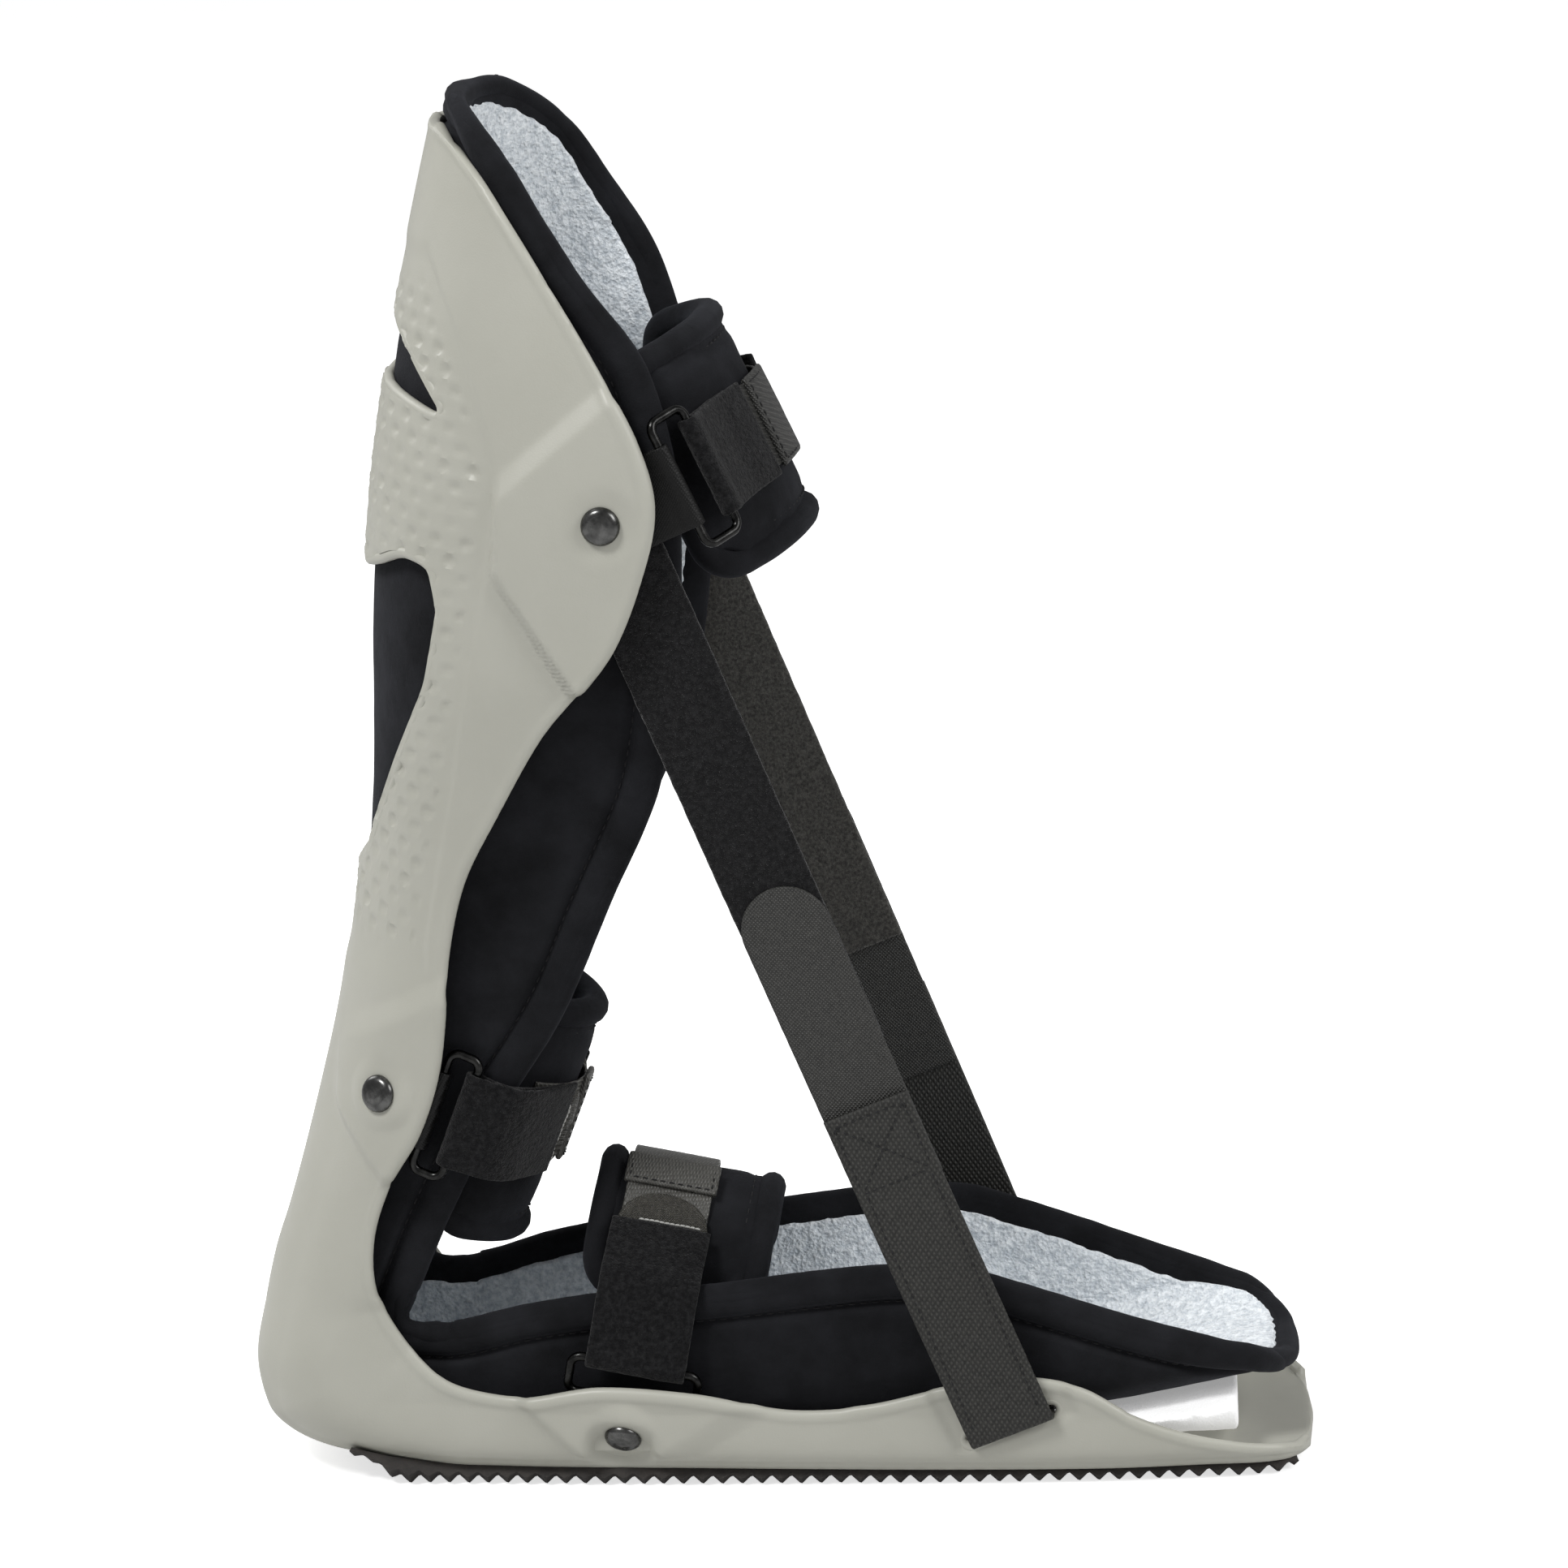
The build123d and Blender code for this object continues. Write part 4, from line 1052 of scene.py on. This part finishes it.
def pad_mesh(strap, thick, shrink):
    """Both faces of a cushion on the pad's ellipse, thinner to its edge and rounded at its corners."""
    pad = strap["pad"]
    turn = np.linspace(-PAD_WRAP, PAD_WRAP, 56)
    pw = pad_point(pad, -PAD_T / 2, turn)
    s = run_length(pw)
    s = s - s[-1] / 2
    half = s[-1] - shrink
    low, high = pad["low"] + shrink, pad["high"] - shrink
    mid, tall = (low + high) / 2, (high - low) / 2
    uu, vv = np.meshgrid(np.linspace(-1, 1, 56), np.linspace(-1, 1, 34), indexing="ij")
    power = 7.0
    norm = (np.abs(uu) ** power + np.abs(vv) ** power) ** (1 / power)
    biggest = np.maximum(np.abs(uu), np.abs(vv))
    f = np.where(norm > 1e-6, biggest / np.maximum(norm, 1e-6), 1)
    t = thick * (.55 + .45 * np.sqrt(np.clip((1 - biggest) * 4.0, 0, 1)))
    angle = np.interp(uu * f * half, s, turn)
    q = mid + vv * f * tall
    out, _ = pad_surface(strap, -PAD_T / 2, angle, q)
    _, normal = pad_surface(strap, 0, angle, q)
    return out + normal * (t / 2)[..., None], out - normal * (t / 2)[..., None]


def build_pad(name, strap):
    """A cushion swelled by Cloth, with a sewn seam just inside its rolled binding."""
    pad = piece(f"{name}_pad_cushion", *closed(*pad_mesh(strap, PAD_T - 1.2, 2.5), 3), None, FABRIC)
    if CLOTH:
        refine(pad, "REMESH", mode="VOXEL", voxel_size=.0042)
        inflate(pad, 3.0, 2.2)
    refine(pad, "SUBSURF", levels=1, render_levels=1)
    co, normal = vertex_array(pad, "co") / MM, vertex_array(pad, "normal")
    turn, q = pad_outline(strap, PAD_SEAM_IN)
    for outset in (0, -PAD_T):
        tree = tree_of(pad_surface(strap, outset, turn, q)[0])
        near = np.array([tree.find(v)[2] for v in co])
        co = co - normal * (.9 * np.exp(-(near / 1.5) ** 2))[:, None]
    co = co + normal * (.35 * lumps(co, 15, 21) + .12 * lumps(co, 5, 22))[:, None]
    move_vertices(pad, co * MM)
    dye(pad, FABRIC)
    dress(pad, f"{name}_strap", [f"{name}_pad"])
    mid, away = pad_surface(strap, -PAD_T / 2, *pad_outline(strap, BINDING_IN))
    roll = tube(mid, BINDING_R + .25 * lumps(mid, 9, 31), 14, True, 1.06, away)
    piece(f"{name}_pad_binding", *roll, f"{name}_strap", FABRIC, slot="liner_fabric")
    parts = []
    for outset, sign in ((-1.5, 1), (-PAD_T + 1.5, -1)):
        path, away = pad_surface(strap, outset, turn, q)
        parts.append(stitches(path, away * sign, 3.3, 2.2, .24))
    piece(f"{name}_pad_thread", *joined(parts), f"{name}_strap", THREAD, slot="liner_fabric")


def build_tape(name, strap):
    """Hook tape across the pad's front with its folded, stitched end at the closure."""
    across = -strap_frame(strap)[2]
    body, material = f"{name}_strap", HOOK if name == "calf" else GREY_TAPE
    near, far = strap["tape"]
    path, _ = pad_surface(strap, .75, np.linspace(near, -far, 60), np.zeros(60))
    tape = ribbon(path, across, TAPE_HALF, 1.0, 1.0, .06, 1.2, 3, wander=.25)
    piece(f"{name}_hook_tape_web", *tape, body, material, [f"{name}_hook_tape"], "hook_webbing")
    a, z = (9, -11) if name == "ankle" else strap["patch"]
    path, away = pad_surface(strap, 1.9, np.linspace(a, z, 26), np.zeros(26))
    path = path + away * (.5 * np.linspace(0, 1, 26) ** 2)[:, None]
    end = ribbon(path, across, TAPE_END_HALF, 1.9, 1.0, .06, 1.2, 5, wander=.3)
    piece(f"{name}_tape_end", *end, body, material, [f"{name}_tape_patch"], "hook_webbing")
    parts = []
    for q0, q1, last in ((-12, 12, a - 1.5), (-12, -12, z + 1.5), (12, 12, z + 1.5)):
        seam = pad_surface(strap, 2.95, np.linspace(a - 1.5, last, 30), np.linspace(q0, q1, 30))
        parts.append(stitches(*seam, 2.6, 1.8, .2))
    piece(f"{name}_tape_thread", *joined(parts), body, THREAD, slot="hook_webbing")


def tail_body(name, side_name):
    return f"{name}_tail" if side_name == "right" else f"{name}_strap"


def build_tails(name, strap):
    """The looped strap ends and the folded tabs that hold the rings."""
    across = strap_frame(strap)[2]
    tail = fold_path(strap["tail"], WIRE_R + .1 + .75, 1.4, 0.0, 5.0)
    chape = fold_path(strap["chape"], WIRE_R + .1 + .5, .9, 0.0, 0.0)
    for side_name, side in SIDES.items():
        path = lay(strap, tail, side)
        path = path + across * (.5 * lumps(path * (1, 0, 1), 30, 41))[:, None]
        band = ribbon(spaced(path, .6), across, TAIL_HALF, TAIL_T, .6, .13, 1.3, 50 + side, .7, .35)
        piece(f"{name}_tail_{side_name}_strap", *band, tail_body(name, side_name), NAP,
              [f"{name}_tail_{side_name}"], "loop_strap")
        band = ribbon(lay(strap, chape, side), across, CHAPE_HALF, CHAPE_T, 1.2, .03, 1.5, 60 + side,
                      wander=.2)
        piece(f"{name}_chape_{side_name}_tape", *band, "shell", CHAPE, [f"{name}_chape_{side_name}"],
              "chape_tape")


def half_moon(name, strap, side_name):
    """The rounded hook end of the strap past the cut and frayed end of the looped layer."""
    side, body, pad = SIDES[side_name], tail_body(name, side_name), strap["pad"]
    end = smooth_line(strap["tail"], .6)[-1]
    start = math.degrees(math.atan2(end[1] / pad["b"], (end[0] - pad["centre"]) / pad["a"]))
    share = np.clip(np.linspace(-.35, 1, 26), 0, 1)
    half = 13.2 * np.sqrt(np.clip(1 - share ** 2.2, .004, 1))
    path = lay(strap, pad_point(pad, 2.2, np.linspace(start + 6, start - 17, 26)), side)
    band = ribbon(path, strap_frame(strap)[2], half, 1.3, 1.0, .16, 1.0, 70, edge=.5)
    piece(f"{name}_hook_end_{side_name}", *band, body, HOOK_SHINE, slot="hook_webbing")
    turn = np.full(24, start - 2.4)
    line = lay(strap, pad_point(pad, 3.7, turn), side, np.linspace(-11, 7, 24))
    out = unit(line[0] - lay(strap, pad_point(pad, 0.0, turn[:1]), side, [-11])[0])
    line = line + out * (.35 * lumps(line, 2.5, 77))[:, None]
    piece(f"{name}_frayed_end_{side_name}", *stitches(line, out, 1.5, 1.7, .34), body, PALE,
          slot="hook_webbing")


for name, strap in STRAPS.items():
    build_pad(name, strap)
    build_tape(name, strap)
    build_tails(name, strap)
    if name != "calf":
        half_moon(name, strap, "right")
        half_moon(name, strap, "left")


# ------------------------------------------------------------------ side straps
def side_frame(side):
    """Start, direction along, direction across and outward direction of a side strap."""
    x0, z0 = STRAPS["calf"]["origin"]
    x1, z1 = SLOT["centre"]
    along = unit(np.array([x1 - x0, side * (SIDE_END_W - SIDE_TOP_W), z1 - z0]))
    across = unit(np.array([z0 - z1, 0, x1 - x0]))
    out = unit(np.cross(across, along))
    return np.array([x0, side * SIDE_TOP_W, z0]), along, across, out * np.sign(out[1] * side)


def side_path(side, s, w):
    origin, along, _, out = side_frame(side)
    return origin + np.asarray(s)[:, None] * along + np.asarray(w)[:, None] * out


def rounded(start_gap, half):
    """Half-width of a band's round end, start_gap before its full width."""
    return np.where(start_gap > 0, np.sqrt(np.clip(half ** 2 - start_gap ** 2, .3, None)), half)


def sunk(s, level):
    """Height of the web at s, easing in towards its slot."""
    return level - WEB_SINK * ramp((s - TAB_END - WEB_EASE) / (WEB_END - TAB_END - WEB_EASE - 4))


def build_side(side_name, side):
    """The looped band, the hook tab on it, the webbing down to the slot, and their stitches."""
    _, _, across, out = side_frame(side)
    half, body = SIDE_STRAP_W / 2, f"side_web_{side_name}"
    s = np.arange(-half, BAND_END + .1, 1.0)
    path = side_path(side, s, .15 * lumps(np.stack([s, s * 0, s * 0], 1), 23, 5))
    band = ribbon(path, across, rounded(-s, half), SIDE_LAYER, .8, .13, 1.5, 80 + side, edge=.6)
    piece(f"side_band_{side_name}_strap", *band, f"side_band_{side_name}", BAND,
          [f"side_band_{side_name}"], "loop_strap")
    full = TAB_TIP + half
    s = np.r_[full - half * np.cos(np.linspace(.06, math.pi / 2, 14)), np.arange(full + 1, TAB_END, 1.0)]
    level = SIDE_LAYER / 2 + LAYERS_GAP + TAB_T / 2
    path = side_path(side, s, np.full(len(s), level))
    tab = ribbon(path, across, rounded(full - s, half), TAB_T, 1.1, .08, 1.2, 90 + side, edge=.4)
    piece(f"side_hook_tab_{side_name}_tape", *tab, body, HOOK, [f"side_hook_tab_{side_name}"],
          "hook_webbing")
    level = SIDE_LAYER / 2 + 2 * LAYERS_GAP + TAB_T + SIDE_LAYER / 2
    s = np.arange(WEB_START, WEB_END - 2.5, 1.0)
    w = sunk(s, level)
    bend = np.linspace(0, math.pi / 2, 8)
    s = np.r_[s, WEB_END - 2.4 + WEB_BEND * np.sin(bend), np.full(8, WEB_END - SIDE_LAYER / 2)]
    w = np.r_[w, w[-1] - WEB_BEND * (1 - np.cos(bend)), np.linspace(w[-1] - 3, -11.5, 8)]
    path = spaced(side_path(side, s, w), 1.0)
    web = ribbon(path, across, half, SIDE_LAYER, 1.1, .05, 1.3, 95 + side, edge=.5, wander=.12)
    hem = spaced(side_path(side, [WEB_END - 4.6, WEB_END + 1.6], [-10.9, -10.9]), .8)
    hem = ribbon(hem, across, 6.4, 2.6, 1.1, .05, 1.3, 97)
    piece(f"side_web_{side_name}_webbing", *joined([web, hem]), body, WEBBING, [body], "hook_webbing")
    level = level + SIDE_LAYER / 2
    parts = []
    a, z, q = WEB_START + 2.5, TAB_END - 2.5, half - 2.2
    for s0, q0, s1, q1 in ((a, -q, a, q), (z, -q, z, q), (a, -q, z, -q), (a, q, z, q), (a, -q, z, q),
                           (a, q, z, -q)):
        n = max(int(math.hypot(s1 - s0, q1 - q0)), 4)
        line = side_path(side, np.linspace(s0, s1, n), np.full(n, level))
        parts.append(stitches(line + np.linspace(q0, q1, n)[:, None] * across, out, 2.4, 1.7, .2))
    for q in (-9.8, 9.8):
        s = np.arange(z + 1, WEB_END - 4, .5)
        line = side_path(side, s, sunk(s, level)) + q * across
        parts.append(stitches(line, out, 2.4, 1.7, .2))
    piece(f"side_thread_{side_name}", *joined(parts), body, THREAD, slot="hook_webbing")


for side_name, side in SIDES.items():
    build_side(side_name, side)


# ------------------------------------------------------------------ tread, wedge and hardware
for name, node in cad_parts.items():
    if "ring" in name or "rivet" in name:
        dye(node, WIRE if "ring" in name else METAL)
        node.data.set_sharp_from_angle(angle=math.radians(35))


def build_tread():
    """Thin rubber under the shell, its top against the shell and its underside toothed."""
    shares = np.linspace(-TREAD_HALF, TREAD_HALF, 33)
    heel = int(np.argmin([row[0] for row, _, _ in shell_sheet.rows]))
    lines = []
    for row, n, y in shell_sheet.rows[heel:]:
        c, d = cos_sin(row[2])
        rise = np.interp(np.abs(shares) * row[3], y, n)
        lines.append(np.stack([row[0] + rise * c, shares * row[3], row[1] + rise * d], 1))
    x = np.arange(-71, 201.5, TOOTH_PITCH / 8)
    top = []
    for sole in np.moveaxis(np.array(lines), 1, 0):
        top.append(np.stack([x, *(np.interp(x, sole[:, 0], sole[:, k]) for k in (1, 2))], 1))
    top = np.stack(top, 1)
    wave = np.abs((x / TOOTH_PITCH) % 1 - .5) * 2
    floor_z = TOOTH_H * np.clip(wave * 1.15 - .08, 0, 1) + 2.5 * np.clip((-60 - x) / 12, 0, 1) ** 1.5
    under = np.minimum(floor_z[:, None] + .12 * lumps(top, 3, 71), top[..., 2] - .7)
    thin = top[..., 2] - .6 - .9 * (1 - wave[:, None])
    bottom = top.copy()
    bottom[..., 2] = under + (thin - under) * ramp((-55 - x) / 14)[:, None]
    top[..., 2] += .4
    piece("tread_rubber", *closed(top, bottom, 1), "shell", RUBBER, ["tread_sole"], "rubber", sharp=40)


def build_domes():
    """Pressed domed caps on the rivets."""
    radius = np.array([0.01, 1.2, 2.3, 2.6, 3.3, 4.2, 4.9, 5.35, 5.4, 5.1])[:, None, None]
    height = np.array([3.45, 3.44, 3.38, 3.20, 3.32, 3.05, 2.5, 1.75, 1.25, 1.02])[:, None, None]
    sides = 32
    turn = np.arange(sides)[:, None] / sides * 2 * math.pi
    parts = []
    for strap in STRAPS.values():
        for side in SIDES.values():
            centre, axis = rivet_axis(strap, side)
            u = unit(np.cross(axis, (0, 0, 1)))
            v = np.cross(axis, u)
            rings = centre + axis * height + radius * (np.cos(turn) * u + np.sin(turn) * v)
            parts.append((rings.reshape(-1, 3), ring_faces(len(radius), sides)))
    piece("rivet_caps", *joined(parts), "shell", METAL, slot="rivet_steel", sharp=50)


def build_wedge():
    """The white foam wedge under the toes, with softened edges."""
    wedge = placed("toe_wedge_foam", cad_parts["toe_wedge"].data.copy())
    refine(wedge, "REMESH", mode="VOXEL", voxel_size=.0011)
    refine(wedge, "SMOOTH", iterations=5)
    co, normal = vertex_array(wedge, "co") / MM, vertex_array(wedge, "normal")
    move_vertices(wedge, (co + normal * (.12 * lumps(co, 2.2, 61))[:, None]) * MM)
    dye(wedge, FOAM)
    dress(wedge, "shell", ["toe_wedge"])


build_tread()
build_domes()
build_wedge()


# ------------------------------------------------------------------ floor, light and camera
FLOOR_HALF, FLOOR_Z = 30, -.0002
mesh = bpy.data.meshes.new("floor")
corners = (-1, -1), (1, -1), (1, 1), (-1, 1)
mesh.from_pydata([(x * FLOOR_HALF, y * FLOOR_HALF, FLOOR_Z) for x, y in corners], [], [(0, 1, 2, 3)])
mesh.materials.append(FLOOR)
placed("floor", mesh)

world = bpy.data.worlds.new("studio")
bpy.context.scene.world = world
world.use_nodes = True
tree = world.node_tree
seen = tree.nodes.new("ShaderNodeLightPath")
level = tree.nodes.new("ShaderNodeMapRange")
# the camera sees a white surround, which lights the splint less than it shows
level.inputs["To Min"].default_value, level.inputs["To Max"].default_value = .40, 1.05
tree.links.new(seen.outputs["Is Camera Ray"], level.inputs["Value"])
tree.links.new(level.outputs["Result"], tree.nodes["Background"].inputs["Strength"])
tree.nodes["Background"].inputs["Color"].default_value = (1, 1, 1, 1)


def area(name, place, target, size, power):
    """A square soft light that looks at target."""
    light = bpy.data.lights.new(name, "AREA")
    light.energy, light.size, light.shape = power, size, "SQUARE"
    obj = placed(name, light)
    obj.location = place
    obj.rotation_mode = "QUATERNION"
    obj.rotation_quaternion = (Vector(target) - Vector(place)).to_track_quat("-Z", "Y")


area("key", (-.9, -1.1, 2.1), (.05, 0, .18), .6, 37)
area("rim", (-1.2, .8, 1.2), (.0, 0, .2), .8, 8)
area("front", (1.6, -.7, 1.3), (.05, 0, .2), .9, 18)

AIM, DISTANCE, ROLL = Vector((.060, 0, .1971)), 1.54, -2.4
BACK = Vector((.0763, -.9694, .2334)).normalized()
camera_data = bpy.data.cameras.new("camera")
camera_data.sensor_width, camera_data.lens = 36, 123.4
camera_data.clip_start, camera_data.clip_end = .05, 60
camera = placed("camera", camera_data)
camera.rotation_mode = "QUATERNION"
camera.location = AIM + BACK * DISTANCE
camera.rotation_quaternion = (-BACK).to_track_quat("-Z", "Y") @ Quaternion((0, 0, 1), math.radians(ROLL))
bpy.context.scene.camera = camera
bpy.context.scene.view_settings.view_transform = "Standard"
